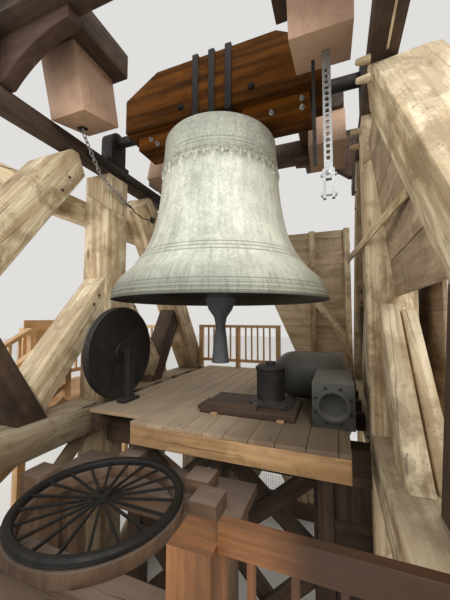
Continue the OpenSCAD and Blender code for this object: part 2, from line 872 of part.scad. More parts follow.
// Round hood with a boxed mouth in front, on the right of the deck
module drive_housing() {
    r = hood_d / 2;
    x0 = 500;
    x1 = deck_right - 20;
    hood_y = 850;
    box_x = deck_right + 60;
    box_w = 400;
    box_h = 440;
    front = -300;
    mouth = 320;
    color(tone_grey) translate([0, 0, deck_z]) difference() {
        union() {
            intersection() {
                union() {
                    translate([x0 + r, hood_y, r]) rotate([0, 90, 0]) cylinder(r = r, h = x1 - r - x0);
                    translate([x0 + r, hood_y, r]) sphere(r);
                }
                block([x0 - 10, 0, 0], [x1, 2 * hood_y, 2 * r]);
            }
            block([box_x - box_w, front, 0], [box_x, hood_y, box_h]);
            translate([box_x - box_w / 2, front, box_h / 2]) rotate([90, 0, 0]) cylinder(d = mouth, h = 25);
        }
        translate([box_x - box_w / 2, front + 100, box_h / 2]) rotate([90, 0, 0]) cylinder(d = mouth - 60, h = 126);
    }
}

// Grooved disc on a short shaft in two pedestals
module drive_disc() {
    r = disc_d / 2;
    shaft_z = r + 40;
    x0 = -deck_left;
    color(tone_iron) translate([0, -200, deck_z]) {
        translate([x0, 0, shaft_z]) rotate([0, 90, 0]) rotate_extrude($fn = 96)
            polygon([[0, 0], [120, 0], [130, 25], [r - 70, 30], [r, 0], [r, 22], [r - 30, 50], [r, 78], [r, 100],
                [r - 70, 70], [130, 75], [120, 100], [0, 100]]);
        translate([x0 + 99, 0, shaft_z]) rotate([0, 90, 0]) cylinder(r = 38, h = 170);
        block([x0 + 150, -60, 0], [x0 + 240, 60, shaft_z + 60]);
        block([x0 + 130, -150, 0], [x0 + 260, 150, 40]);
    }
}

// The headstock with two lower timbers beside the bell's crown
module headstock() {
    half = stock_l / 2;
    haunch = 280;
    under = 220;
    color([0.72, 0.48, 0.24]) {
        thick_y(-stock_w / 2, stock_w / 2) polygon([[-half, stock_z], [half, stock_z],
            [half, stock_z + stock_h - haunch], [half - 500, stock_z + stock_h], [500 - half, stock_z + stock_h],
            [-half, stock_z + stock_h - haunch]]);
        both_x() block([350, -stock_w / 3, stock_z - under], [half - 150, stock_w / 3, stock_z - play]);
    }
}

module stock_straps() {
    color(tone_iron) for (x = [-220, 0, 220]) translate([x, 0, 0]) {
        both_y() block([-40, stock_w / 2, stock_z - 40], [40, stock_w / 2 + 25, stock_z + stock_h]);
        block([-40, -stock_w / 2 - 25, stock_z + stock_h], [40, stock_w / 2 + 25, stock_z + stock_h + 30]);
        block([-40, -stock_w / 2, stock_z - 40], [40, stock_w / 2, stock_z]);
    }
}

module gudgeons() {
    flange = 40;
    face = stock_l / 2;
    color(tone_iron) both_x() {
        block([face, -200, stock_z + 10], [face + flange, 200, stock_z + 430]);
        translate([face + flange, 0, axle_z]) rotate([0, 90, 0])
            cylinder(d = gudgeon_d, h = plate_x + 40 - face - flange);
    }
}

// Outer radius of the plain bell at a height above its lip
bow_h = 255;
flare = 850;
function bell_r(z) = z < bow_h
    ? lip_d / 2 - 0.29 * z - 34 * pow(z / bow_h, 4)
    : lip_d / 2 - 530 - 0.035 * z + flare * exp(-z / 375);
// Thickness of the wall at a height above the lip
function bell_wall(z) = z < 130
    ? 30 + (bow_t - 30) * sin(90 * z / 130)
    : waist_t + (bow_t - waist_t) * exp((130 - z) / 220);
// Mouldings around the bell: height, half width and how far they stand out
mouldings = [[36, 12, 8], [77, 16, 14], [122, 12, 7], [429, 12, 8], [469, 16, 12], [512, 12, 8], [1495, 9, 6],
    [1650, 10, 7], [1710, 9, 6]];
function ridge(m) = [for (k = [-1, -0.6, 0, 0.6, 1])
    [bell_r(m[0] + k * m[1]) + m[2] * (1 - k * k), m[0] + k * m[1]]];
function start_z(i) = i == 0 ? 0 : mouldings[i - 1][0] + mouldings[i - 1][1];
function stop_z(i) = i == len(mouldings) ? shoulder_h : mouldings[i][0] - mouldings[i][1];

module bell() {
    step = 45;
    inner_top = crown_top - 110;
    round_r = 110;
    top_r = bell_r(shoulder_h) - round_r;
    outside = [for (i = [0 : len(mouldings)]) each concat(
        i == 0 ? [[bell_r(0), 0]] : [],
        [for (z = [start_z(i) + step : step : stop_z(i) - step / 2]) [bell_r(z), z]],
        i < len(mouldings) ? ridge(mouldings[i]) : [])];
    color(tone_bronze) translate([0, 0, lip_z]) rotate_extrude($fn = 96) polygon(concat(
        outside,
        [for (a = [0 : 20 : 80]) [top_r + round_r * cos(a), shoulder_h + 90 * sin(a)]],
        [[400, crown_top - 10], [380, crown_top], [0, crown_top], [0, inner_top]],
        [[220, inner_top], [top_r - 160, inner_top - 30]],
        [for (z = [inner_top - 130 : -80 : 0]) [bell_r(z) - bell_wall(z), z]]
    ));
}

module crown_loops() {
    gap = axle_over_lip - stock_drop - 40 - crown_top;
    color(tone_bronze) translate([0, 0, lip_z + crown_top]) {
        cylinder(r = 120, h = gap);
        for (i = [0 : 5]) rotate(i * 60 + 30) translate([210, 0, 0]) rotate([90, 0, 0]) intersection() {
            rotate_extrude() translate([110, 0]) circle(45);
            translate([-200, 0, -100]) cube([400, gap, 200]);
        }
    }
}

module clapper_staple() {
    drop = crown_top - 110 - pin_h;
    color(tone_iron) translate([0, 0, lip_z + pin_h]) {
        both_x() {
            block([110, -70, 0], [160, 70, drop]);
            translate([110, 0, 0]) rotate([0, 90, 0]) cylinder(r = 70, h = 50);
        }
        translate([-160, 0, 0]) rotate([0, 90, 0]) cylinder(d = pin_d, h = 320);
    }
}

module clapper() {
    color(tone_iron) translate([0, 0, lip_z]) {
        difference() {
            union() {
                translate([-105, 0, pin_h]) rotate([0, 90, 0]) cylinder(r = 90, h = 210);
                translate([0, 0, 100]) cylinder(r1 = 85, r2 = 60, h = pin_h - 100);
            }
            translate([-106, 0, pin_h]) rotate([0, 90, 0]) cylinder(d = pin_d + 0.1, h = 212);
        }
        rotate_extrude() polygon([[0, -tail_drop], [110, -tail_drop], [70, -tail_drop + 380],
            [60, -tail_drop + 450], [80, ball_z - 220], [ball_d / 2 - 40, ball_z - 120], [ball_d / 2, ball_z],
            [ball_d / 2 - 20, ball_z + 90], [110, ball_z + 200], [70, ball_z + 270], [0, ball_z + 270]]);
    }
}

side_soles();
cross_soles();
corner_posts();
bearing_posts();
cross_girts();
side_girts();
middle_girt();
middle_posts();
middle_rails();
middle_braces();
side_braces();
back_posts();
back_braces();
deck_joists();
deck_edge_beam();
deck_boards();
gallery();
gallery_posts();
gallery_railing();
stair_strings();
stair_treads();
back_railing();
raking_struts();
lower_struts();
counter_braces();
spandrel_boarding();
side_rails();
top_plates();
bearings();
upper_posts();
cross_ties();
arch_braces();
crown_plates();
hanging_posts();
right_boarding();
back_studs();
back_boarding();
middle_boarding();
well_sole();
well_posts();
well_bearers();
well_curb();
spoked_wheel();
guard_sill();
guard_rail();
hanger_bar();
deck_plinth();
winch_drum();
drive_housing();
drive_disc();
headstock();
stock_straps();
gudgeons();
bell();
crown_loops();
clapper_staple();
clapper();
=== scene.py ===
"""Looks of an open timber bell frame and its great bell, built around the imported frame.

The file is laid out as an add-on: property groups hold the sizes and colours, one operator makes each
piece or group of like pieces, and main() calls them in order. Everything is in metres.
"""

import json
import math
import random

import bpy
import numpy as np
from mathutils import Matrix, Vector

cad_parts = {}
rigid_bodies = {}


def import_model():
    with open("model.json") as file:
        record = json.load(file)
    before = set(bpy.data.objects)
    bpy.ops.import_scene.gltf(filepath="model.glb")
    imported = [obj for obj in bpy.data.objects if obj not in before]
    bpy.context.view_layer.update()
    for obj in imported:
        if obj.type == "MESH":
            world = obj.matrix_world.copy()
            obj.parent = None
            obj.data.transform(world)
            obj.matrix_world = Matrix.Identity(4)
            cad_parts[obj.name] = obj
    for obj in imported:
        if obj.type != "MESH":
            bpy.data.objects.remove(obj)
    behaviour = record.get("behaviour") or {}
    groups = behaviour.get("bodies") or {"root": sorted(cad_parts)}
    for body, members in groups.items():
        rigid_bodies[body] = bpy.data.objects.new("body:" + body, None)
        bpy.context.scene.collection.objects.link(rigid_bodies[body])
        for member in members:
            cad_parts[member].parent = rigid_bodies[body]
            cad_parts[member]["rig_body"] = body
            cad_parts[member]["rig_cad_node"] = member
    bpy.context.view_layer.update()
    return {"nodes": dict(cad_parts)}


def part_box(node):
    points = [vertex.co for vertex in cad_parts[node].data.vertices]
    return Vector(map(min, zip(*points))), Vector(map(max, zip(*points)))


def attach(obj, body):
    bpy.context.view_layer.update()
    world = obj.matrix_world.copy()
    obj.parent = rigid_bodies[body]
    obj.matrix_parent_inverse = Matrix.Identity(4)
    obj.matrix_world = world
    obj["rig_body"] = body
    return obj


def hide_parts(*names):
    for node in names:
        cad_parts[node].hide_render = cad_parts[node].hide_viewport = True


bl_info = {
    "name": "Bell Frame Looks",
    "version": (1, 0, 0),
    "blender": (4, 5, 0),
    "location": "View3D > Sidebar > Bell Frame",
    "description": "Oak, iron and bronze finishes and fine pieces for an open timber bell frame",
    "category": "Object",
}

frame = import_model()
nodes = frame["nodes"]

FRAME_BODY = "frame"
BELL_BODY = "swinging_bell"
CLAPPER_BODY = "swinging_clapper"
LIP_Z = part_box("bell")[0].z
LIP_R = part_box("bell")[1].x
CROWN_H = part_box("bell")[1].z - LIP_Z
DECK_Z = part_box("deck_boards")[1].z

# Mouldings round the bell: height, half width and how far they stand out
MOULDINGS = ((0.036, 0.014, 0.008), (0.077, 0.018, 0.014), (0.122, 0.014, 0.007), (0.429, 0.015, 0.008),
             (0.469, 0.018, 0.012), (0.512, 0.015, 0.008), (1.66, 0.017, 0.010), (1.705, 0.017, 0.008))


# Small tools for modelling


def clear_selection():
    """Leaves object mode on, with nothing selected."""
    if bpy.context.object and bpy.context.object.mode != "OBJECT":
        bpy.ops.object.mode_set(mode="OBJECT")
    bpy.ops.object.select_all(action="DESELECT")


def pick(piece):
    """Makes a piece the only selected and the active one."""
    clear_selection()
    piece.select_set(True)
    bpy.context.view_layer.objects.active = piece
    return piece


def remove(piece):
    """Deletes a piece that was only there to be copied or to cut."""
    pick(piece)
    bpy.ops.object.delete()


def settle(piece):
    """Puts a piece's place, turn and scale into its mesh."""
    pick(piece)
    bpy.ops.object.transform_apply(location=True, rotation=True, scale=True)
    return piece


def add_shape(make, place=(0, 0, 0), turn=(0, 0, 0), scale=(1, 1, 1), **settings):
    """Makes a plain shape with its place, turn and scale in its mesh."""
    clear_selection()
    make(location=place, **settings)
    piece = bpy.context.object
    piece.rotation_euler = turn
    piece.scale = scale
    return settle(piece)


def edit_all(piece):
    """Opens a piece in edit mode with everything selected."""
    pick(piece)
    bpy.ops.object.mode_set(mode="EDIT")
    bpy.ops.mesh.select_mode(type="VERT")
    bpy.ops.mesh.select_all(action="SELECT")


def close_edit(piece):
    """Turns the faces outwards and leaves edit mode."""
    bpy.ops.mesh.select_all(action="SELECT")
    bpy.ops.mesh.normals_make_consistent(inside=False)
    bpy.ops.object.mode_set(mode="OBJECT")
    return piece


def add_modifier(piece, kind, **settings):
    """Adds a modifier with its settings and applies it."""
    pick(piece)
    modifier = piece.modifiers.new(kind.lower(), kind)
    for key, value in settings.items():
        setattr(modifier, key, value)
    bpy.ops.object.modifier_apply(modifier=modifier.name)
    return piece


def round_edges(piece, width, segments=2, angle=30.0):
    """Bevels the sharp edges of a piece."""
    return add_modifier(piece, "BEVEL", width=width, segments=segments, limit_method="ANGLE",
                        angle_limit=math.radians(angle), use_clamp_overlap=True)


def smooth(piece, angle=35.0):
    """Shades a piece smooth up to an angle between faces."""
    pick(piece)
    bpy.ops.object.shade_smooth_by_angle(angle=math.radians(angle))
    return piece


def beam(name, low, high, bevel=0.004, segments=2):
    """A bevelled beam from its lowest to its highest corner."""
    low = Vector(low)
    high = Vector(high)
    piece = add_shape(bpy.ops.mesh.primitive_cube_add, (low + high) / 2, scale=high - low, size=1)
    piece.name = name
    return round_edges(piece, min(bevel, 0.3 * min(high - low)), segments)


def rod(name, start, end, radius, sides=12, bevel=0.0):
    """A round rod between two points."""
    start = Vector(start)
    way = Vector(end) - start
    piece = add_shape(bpy.ops.mesh.primitive_cylinder_add, (start + Vector(end)) / 2,
                      way.to_track_quat("Z", "Y").to_euler(), vertices=sides, radius=radius, depth=way.length)
    piece.name = name
    if bevel:
        round_edges(piece, bevel, 2, 40)
    return smooth(piece)


def strip(name, start, end, width, thick, facing):
    """A flat bar between two points, its wide face turned to a direction."""
    start = Vector(start)
    reach = Vector(end) - start
    along = reach.normalized()
    side = Vector(facing).cross(along).normalized()
    piece = beam(name, (0, -width / 2, -thick / 2), (reach.length, width / 2, thick / 2), 0.003, 1)
    turned = Matrix((along, side, along.cross(side))).transposed().to_4x4()
    piece.matrix_world = Matrix.Translation(start) @ turned
    return settle(piece)


def hex_bolt(name, at, facing, width=0.036, height=0.018):
    """A hexagonal bolt head on its washer, standing on a face."""
    at = Vector(at)
    facing = Vector(facing)
    proud = 0.004 * facing
    washer = rod("washer", at - proud, at + proud, 0.72 * width, 12)
    head = rod("head", at + proud, at + height * facing, 0.56 * width, 6)
    return merge(name, [washer, head])


def draw_line(name, points):
    """A line through points, drawn by extruding one vertex after another."""
    piece = add_shape(bpy.ops.mesh.primitive_plane_add, size=0.1)
    piece.name = name
    edit_all(piece)
    bpy.ops.mesh.merge(type="CENTER")
    bpy.ops.transform.translate(value=points[0])
    for before, after in zip(points, points[1:]):
        step = Vector(after) - Vector(before)
        bpy.ops.mesh.extrude_region_move(TRANSFORM_OT_translate={"value": step})
    bpy.ops.object.mode_set(mode="OBJECT")
    return piece


def copy_piece(piece, move=(0, 0, 0), turn=Matrix()):
    """A copy of a piece with its own mesh, turned and moved."""
    pick(piece)
    bpy.ops.object.duplicate(linked=False)
    twin = bpy.context.object
    twin.matrix_world = Matrix.Translation(move) @ turn @ twin.matrix_world
    return settle(twin)


def merge(name, pieces):
    """Joins several pieces into one."""
    clear_selection()
    for piece in pieces:
        piece.select_set(True)
    bpy.context.view_layer.objects.active = pieces[0]
    if len(pieces) > 1:
        bpy.ops.object.join()
    piece = bpy.context.object
    piece.name = name
    piece.data.name = name
    return settle(piece)


def cut_off(piece, point, normal):
    """Cuts away what lies on the side of a plane that its normal points to, and closes the cut."""
    edit_all(piece)
    bpy.ops.mesh.bisect(plane_co=point, plane_no=normal, use_fill=True, clear_outer=True)
    return close_edit(piece)


def copy_node(node):
    """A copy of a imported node, merged, with its flat faces whole."""
    pick(nodes[node])
    bpy.ops.object.duplicate(linked=False)
    twin = bpy.context.object
    bpy.ops.object.parent_clear(type="CLEAR_KEEP_TRANSFORM")
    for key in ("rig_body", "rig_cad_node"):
        if key in twin:
            del twin[key]
    twin.name = "dressed_" + node
    twin.data.materials.clear()
    edit_all(twin)
    bpy.ops.mesh.remove_doubles(threshold=0.00005)
    bpy.ops.mesh.dissolve_limited(angle_limit=math.radians(0.4))
    return close_edit(twin)


def read_rows(items, name, width, kind):
    """One property of all vertices, edges or corners, a row for each."""
    found = np.zeros(len(items) * width, kind)
    items.foreach_get(name, found)
    return found.reshape(-1, width)


def loose_parts(mesh):
    """The number of the loose part that each vertex belongs to, and how many there are."""
    edges = read_rows(mesh.edges, "vertices", 2, np.int64)
    label = np.arange(len(mesh.vertices))
    settled = False
    while not settled:
        low = np.minimum(label[edges[:, 0]], label[edges[:, 1]])
        before = label.copy()
        np.minimum.at(label, edges[:, 0], low)
        np.minimum.at(label, edges[:, 1], low)
        label = label[label]
        settled = (label == before).all()
    names, number = np.unique(label, return_inverse=True)
    return number, len(names)


def unit(way):
    """A direction with a length of 1."""
    return way / max(np.linalg.norm(way), 1e-9)


def lay_grain(piece, seed, mixed=False):
    """Stores the way of the grain at every corner of the faces.

    That is metres along and across each timber, the timber's tone, and which faces are sawn ends. In a mixed
    piece timbers of several ways are joined, and there each face follows its own longest edge.
    """
    mesh = piece.data
    draw = random.Random(seed)
    places = read_rows(mesh.vertices, "co", 3, float)
    corners = read_rows(mesh.loops, "vertex_index", 1, np.int64).ravel()
    number, count = loose_parts(mesh)
    part_tone = [draw.random() for _ in range(count)]
    part_shift = [(draw.uniform(0, 40), draw.uniform(-0.12, 0.12), draw.uniform(-0.12, 0.12))
                  for _ in range(count)]
    part_boxes = [(places[number == part].min(0), places[number == part].max(0)) for part in range(count)]
    longest = {}
    if not mixed:
        ends = read_rows(mesh.edges, "vertices", 2, np.int64)
        spans = places[ends[:, 1]] - places[ends[:, 0]]
        for i in np.argsort(np.linalg.norm(spans, axis=1)):
            longest[number[ends[i, 0]]] = unit(spans[i])
    grain = np.zeros((len(corners), 3))
    tone = np.zeros(len(corners))
    sawn = np.zeros(len(corners))
    for face in mesh.polygons:
        part = number[face.vertices[0]]
        if mixed:
            around = places[list(face.vertices)]
            along = unit(max(around - np.roll(around, 1, axis=0), key=lambda side: float(side @ side)))
        else:
            along = longest[part]
        if along[np.argmax(np.abs(along))] < 0:
            along = -along
        helper = (0.0, 0.0, 1.0) if abs(along[2]) < 0.8 else (0.0, 1.0, 0.0)
        side = unit(np.cross(along, helper))
        own = list(face.loop_indices)
        offset = places[corners[own]] - sum(part_boxes[part]) / 2
        grain[own] = offset @ np.array((along, side, np.cross(side, along))).T + part_shift[part]
        tone[own] = part_tone[part]
        sawn[own] = 0.0 if mixed else abs(float(np.array(face.normal) @ along))
    stored = (("grain", "FLOAT_VECTOR", "vector", grain), ("tone", "FLOAT", "value", tone),
              ("sawn", "FLOAT", "value", sawn))
    for name, kind, key, values in stored:
        layer = mesh.attributes.get(name) or mesh.attributes.new(name, kind, "CORNER")
        layer.data.foreach_set(key, values.astype(np.float32).ravel())
    return piece


def finish_piece(piece, name, body, paint, replaced=()):
    """Gives a piece its name, finish and body, and hides the nodes that it stands for."""
    piece.name = name
    piece.data.name = name
    piece.data.materials.clear()
    piece.data.materials.append(paints()[paint])
    if replaced:
        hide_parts(*replaced)
    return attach(piece, body)


def dress(node, body, paint, width, segments=2, angle=40, soft=40, seed=None, mixed=False):
    """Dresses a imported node: its worn edges, the grain where it is wood, and its finish."""
    piece = copy_node(node)
    round_edges(piece, width, segments, angle)
    if seed:
        lay_grain(piece, seed, mixed)
    if soft:
        smooth(piece, soft)
    return finish_piece(piece, "dressed_" + node, body, paint, (node,))


def wood_piece(name, pieces, seed, paint, replaced=()):
    """Joins timbers into one fixed piece, each with its own grain."""
    return finish_piece(lay_grain(merge(name, pieces), seed), name, FRAME_BODY, paint, replaced)


def iron_piece(name, pieces, body=FRAME_BODY, paint="black_iron"):
    """Joins pieces of metal into one."""
    return finish_piece(smooth(merge(name, pieces), 40), name, body, paint)


# Shader expressions


class Value:
    """A socket of a material that takes plain arithmetic, which adds its Math nodes."""

    def __init__(self, paint, socket):
        self.paint = paint
        self.socket = socket

    def maths(self, operation, *others):
        return self.paint.node("ShaderNodeMath", {"operation": operation}, dict(enumerate((self, *others))))

    def __add__(self, other):
        return self.maths("ADD", other)

    __radd__ = __add__

    def __sub__(self, other):
        return self.maths("SUBTRACT", other)

    def __rsub__(self, other):
        return self.paint.node("ShaderNodeMath", {"operation": "SUBTRACT"}, {0: other, 1: self})

    def __mul__(self, other):
        return self.maths("MULTIPLY", other)

    __rmul__ = __mul__

    def __truediv__(self, other):
        return self.maths("DIVIDE", other)

    def __abs__(self):
        return self.maths("ABSOLUTE")

    def __pow__(self, other):
        return self.maths("POWER", other)

    def band(self, low, high, to_low=0.0, to_high=1.0):
        """Goes smoothly from to_low to to_high as the value goes from low to high."""
        return self.paint.node("ShaderNodeMapRange", {"interpolation_type": "SMOOTHSTEP"},
                               {0: self, 1: low, 2: high, 3: to_low, 4: to_high})


class Paint:
    """A procedural material while it is built from its nodes."""

    def __init__(self, name, roughness=0.7, metallic=0.0, sheen=0.5):
        self.material = bpy.data.materials.new(name)
        self.material.use_nodes = True
        self.tree = self.material.node_tree
        self.shader = self.tree.nodes["Principled BSDF"]
        self.shader.inputs["Roughness"].default_value = roughness
        self.shader.inputs["Metallic"].default_value = metallic
        self.shader.inputs["Specular IOR Level"].default_value = sheen

    def node(self, kind, settings=None, sockets=None, output=0):
        """Adds any node: its settings come first, then the values or links of its sockets."""
        made = self.tree.nodes.new(kind)
        for key, value in (settings or {}).items():
            setattr(made, key, value)
        for key, value in (sockets or {}).items():
            self.feed(made.inputs[key], value)
        return Value(self, made.outputs[output])

    def feed(self, socket, value):
        if isinstance(value, Value):
            self.tree.links.new(value.socket, socket)
        else:
            socket.default_value = value

    def place(self):
        """Where a point is on the whole object, in metres."""
        return self.node("ShaderNodeTexCoord", output=3)

    def stored(self, name, output):
        """A stored attribute of the mesh."""
        return self.node("ShaderNodeAttribute", {"attribute_name": name}, output=output)

    def stretch(self, vector, x, y, z):
        return self.node("ShaderNodeVectorMath", {"operation": "MULTIPLY"}, {0: vector, 1: (x, y, z)})

    def join(self, x, y, z):
        return self.node("ShaderNodeCombineXYZ", None, {0: x, 1: y, 2: z})

    def parts(self, vector):
        """The three numbers of a vector."""
        split = self.node("ShaderNodeSeparateXYZ", None, {0: vector})
        return [Value(self, out) for out in split.socket.node.outputs]

    def noise(self, vector, scale=1.0, detail=3.0, rough=0.5, warp=0.0):
        """Noise at one scale, or at three, one for each way."""
        if isinstance(scale, tuple):
            vector = self.stretch(vector, *scale)
            scale = 1.0
        return self.node("ShaderNodeTexNoise", None, {"Vector": vector, "Scale": scale, "Detail": detail,
                                                      "Roughness": rough, "Distortion": warp})

    def cells(self, vector, scale, output=0):
        return self.node("ShaderNodeTexVoronoi", None, {"Vector": vector, "Scale": scale}, output)

    def mix(self, share, low, high):
        """A colour between two colours."""
        low, high = ((*tone, 1) if isinstance(tone, tuple) else tone for tone in (low, high))
        return self.node("ShaderNodeMix", {"data_type": "RGBA"}, {0: share, 6: low, 7: high}, 2)

    def lay(self, colour, layers):
        """A colour with others laid over it in turn, each by its share."""
        for share, tone in layers:
            colour = self.mix(share, colour, tone)
        return colour

    def facing_up(self):
        """How far a surface faces upwards, from -1 to 1."""
        return self.parts(self.node("ShaderNodeNewGeometry", output=1))[2]

    def finish(self, colour, roughness, height, depth):
        """Feeds the shader's sockets and returns the material."""
        bump = self.node("ShaderNodeBump", None, {"Height": height, "Distance": depth, "Strength": 1.0})
        self.feed(self.shader.inputs["Base Color"], colour)
        self.feed(self.shader.inputs["Roughness"], roughness)
        self.feed(self.shader.inputs["Normal"], bump)
        return self.material


def linear(red, green, blue):
    """A colour as it shows on a screen, from 0 to 255, as the shader takes it."""
    return tuple((c / 255 / 12.92) if c <= 10.31 else ((c / 255 + 0.055) / 1.055) ** 2.4
                 for c in (red, green, blue))


def times(share, colour):
    """A darker or lighter colour."""
    return tuple(share * c for c in colour)


# Finishes


def oak_paint(name, light, dark, crack, cracked=0.5, dust=0.3, dust_tone=None, wide=1.0, rough=0.78, hewn=1.0,
              worm=0.0, stained=0.3, plain=0.0, knots=0.0, sheen=0.5, shade=None):
    """Wood with streaks, fibres, growth rings, drying cracks and dust, laid along each timber's own grain.

    light and dark are the two tones of the wood, crack is the tone in its cracks and dust_tone that of its
    dust. cracked says how much of the surface is split, dust how grey the upper faces are, wide how wide the
    streaks are, hewn how uneven the faces are, worm how many small holes there are, stained and knots how
    strong the dark patches and knots are, plain how faint the streaks are, and sheen how much it reflects.
    shade is a function of the place that says how far painted shade darkens the wood there.
    """
    paint = Paint(name, rough, sheen=sheen)
    grain = paint.stored("grain", 1)
    tone = paint.stored("tone", 2)
    side = paint.stored("sawn", 2).band(0.5, 0.8, 1.0, 0.0)
    _, across, up = paint.parts(grain)
    bend = paint.noise(grain, (0.6, 1.8, 1.8), 2.0)
    streaks = paint.noise(grain, (0.7, 12 / wide, 12 / wide), 5.0, 0.6, 0.4)
    fibres = paint.noise(grain, (4.0, 130, 130), 3.0, 0.6)
    blotch = paint.noise(grain, 3.1, 6.0, 0.68, 0.4)
    stain = paint.noise(grain, (0.9, 2.6, 2.6), 5.0, 0.7, 0.6)
    chalk = paint.noise(grain, (1.6, 24, 24), 4.0, 0.65)
    specks = paint.noise(grain, 55.0, 3.0, 0.7)
    uneven = paint.noise(grain, (4.5, 5.0, 5.0), 3.0)
    pith = (across * across + up * up) ** 0.5 + bend * 0.10
    rings = (pith * (150 / wide)).maths("SINE") * 0.5 + 0.5
    uneven_pitch = paint.noise(grain, (0.3, 5.0, 5.0), 1.0) * 0.3
    split = drying_cracks(paint, grain, across + up + bend * 0.2 + uneven_pitch, 3.6, cracked, 0.016)
    fine = drying_cracks(paint, grain, across + up + bend * 0.1 + uneven_pitch, 17.0, cracked + 0.3, 0.03)
    settled = paint.facing_up().band(0.2, 1.0) * dust + blotch.band(0.35, 0.65, 0.16 * dust, 0.0)
    marks = split * side + fine * side * 0.45
    if worm:
        holes = paint.cells(grain, 34.0).band(0.10, 0.16, 1.0, 0.0)
        marks = marks + holes * paint.noise(grain, 3.1, 2.0).band(0.66 - 0.2 * worm, 0.74 - 0.2 * worm)

    deeper = times(0.55, dark)
    dusty = dust_tone or tuple(min(1.0, 0.6 * c + 0.22) for c in light)
    layers = [(tone.band(0.0, 1.0, 0.22, 0.0), deeper),
              (stain.band(0.46, 0.58, 0.0, stained), times(0.72, dark)),
              (blotch.band(0.50, 0.64, 0.0, 0.2 + 0.6 * stained), deeper)]
    if knots:
        knot = paint.cells(paint.stretch(grain, 1.1, 3.0, 3.0), 1.0)
        layers.append((knot.band(0.05, 0.12, knots, 0.0) * side, times(0.4, dark)))
    layers += [(chalk.band(0.54, 0.68) * blotch.band(0.35, 0.5, 0.7 * stained, 0.0), dusty),
               (specks.band(0.60, 0.70, 0.0, 0.7 * stained) * side, deeper),
               (settled, dusty),
               (side.band(0.0, 1.0, 0.3, 0.0), deeper)]
    # painted shade: the wood darkened where the shade function says
    if shade:
        layers.append((shade(*paint.parts(paint.place())), times(0.25, dark)))
    layers.append((marks.maths("MINIMUM", 1.0), crack))
    share = streaks.band(0.36, 0.64) * 0.60 + rings * 0.12 + fibres * 0.28
    share = share * (1.0 - 0.75 * plain) + 0.42 * plain
    wood = paint.lay(paint.mix(share, dark, light), layers)
    height = fibres * 0.2 + streaks * 0.4 + uneven * (1.6 * hewn) - split * 1.6 - fine * 0.5
    return paint.finish(wood, streaks.band(0.3, 0.7, rough + 0.06, rough - 0.08), height, 0.007)


def drying_cracks(paint, grain, across, each_metre, cracked, width):
    """Cracks along the grain, evenly spread across it, that open and close to nothing along their length."""
    crooked = paint.noise(grain, (3.5, 3.5, 3.5), 3.0)
    place = (across * each_metre + crooked * 0.22).maths("FRACT")
    zone = paint.noise(grain, (0.6, 0.7 * each_metre, 0.7 * each_metre), 1.0)
    opening = zone.band(0.66 - 0.16 * cracked, 0.84 - 0.16 * cracked, 0.0, width)
    return (opening - abs(place - 0.5)).band(0.0, 0.5 * width)


def painted_shade_low_left(x, y, z):
    """Painted shade on the timbers low down on the left: how far they are darkened."""
    return z.band(2.5, 3.4, 0.72, 0.0) * x.band(-0.3, 0.5, 1.0, 0.0)


def painted_shade_deck_right(x, y, z):
    """Painted shade on the boards of the deck towards the machinery, darker to the right."""
    return x.band(0.0, 0.9, 0.0, 0.88) * y.band(-1.2, -0.4, 1.0, 0.8)


def painted_shade_rail_right(x, y, z):
    """Painted shade on the rail's right end."""
    return x.band(1.12, 1.30, 0.0, 0.92)


def iron_paint(name, base=(0.030, 0.029, 0.029), rust=(0.16, 0.07, 0.03), dust=0.2, rusty=0.3, metal=0.35):
    """Old dark iron with rust specks, worn paint and dust."""
    paint = Paint(name, 0.55, metal, 0.3)
    place = paint.place()
    cloud = paint.noise(place, 9.0, 4.0, 0.6)
    specks = paint.noise(place, 120.0, 3.0, 0.7)
    settled = paint.facing_up().band(0.3, 1.0) * dust + cloud.band(0.4, 0.7) * 0.1 * dust
    colour = paint.lay(base, [(specks.band(0.4, 0.75), tuple(2.4 * c + 0.01 for c in base)),
                              (cloud.band(0.5, 0.72) * specks.band(0.42, 0.6) * rusty, rust),
                              (settled, (0.30, 0.27, 0.22))])
    return paint.finish(colour, cloud.band(0.3, 0.7, 0.45, 0.75), specks * 0.4 + cloud * 0.8, 0.0012)


def zinc_paint(name):
    """Galvanised steel with its spangle."""
    paint = Paint(name, 0.42, 0.8)
    place = paint.place()
    spangle = paint.parts(paint.cells(place, 60.0, 1))[0]
    cloud = paint.noise(place, 14.0, 3.0)
    colour = paint.lay((0.30, 0.31, 0.31), [(spangle.band(0.0, 1.0) * 0.6 + cloud * 0.3, (0.50, 0.51, 0.50)),
                                            (cloud.band(0.58, 0.75) * 0.6, (0.25, 0.23, 0.20))])
    return paint.finish(colour, cloud.band(0.3, 0.7, 0.36, 0.55), cloud, 0.0006)


def enamel_paint(name, base, worn):
    """Dusty machine paint with scuffs."""
    paint = Paint(name, 0.5)
    place = paint.place()
    cloud = paint.noise(place, 5.0, 4.0, 0.6)
    scuff = paint.noise(place, (30, 30, 90), 3.0, 0.7)
    colour = paint.lay(base, [(cloud.band(0.3, 0.7), times(1.35, base)), (scuff.band(0.62, 0.7) * 0.7, worn),
                              (paint.facing_up().band(0.1, 1.0, 0.0, 0.5), (0.33, 0.31, 0.26))])
    return paint.finish(colour, cloud.band(0.3, 0.7, 0.42, 0.7), scuff * 0.3 + cloud * 0.4, 0.0012)


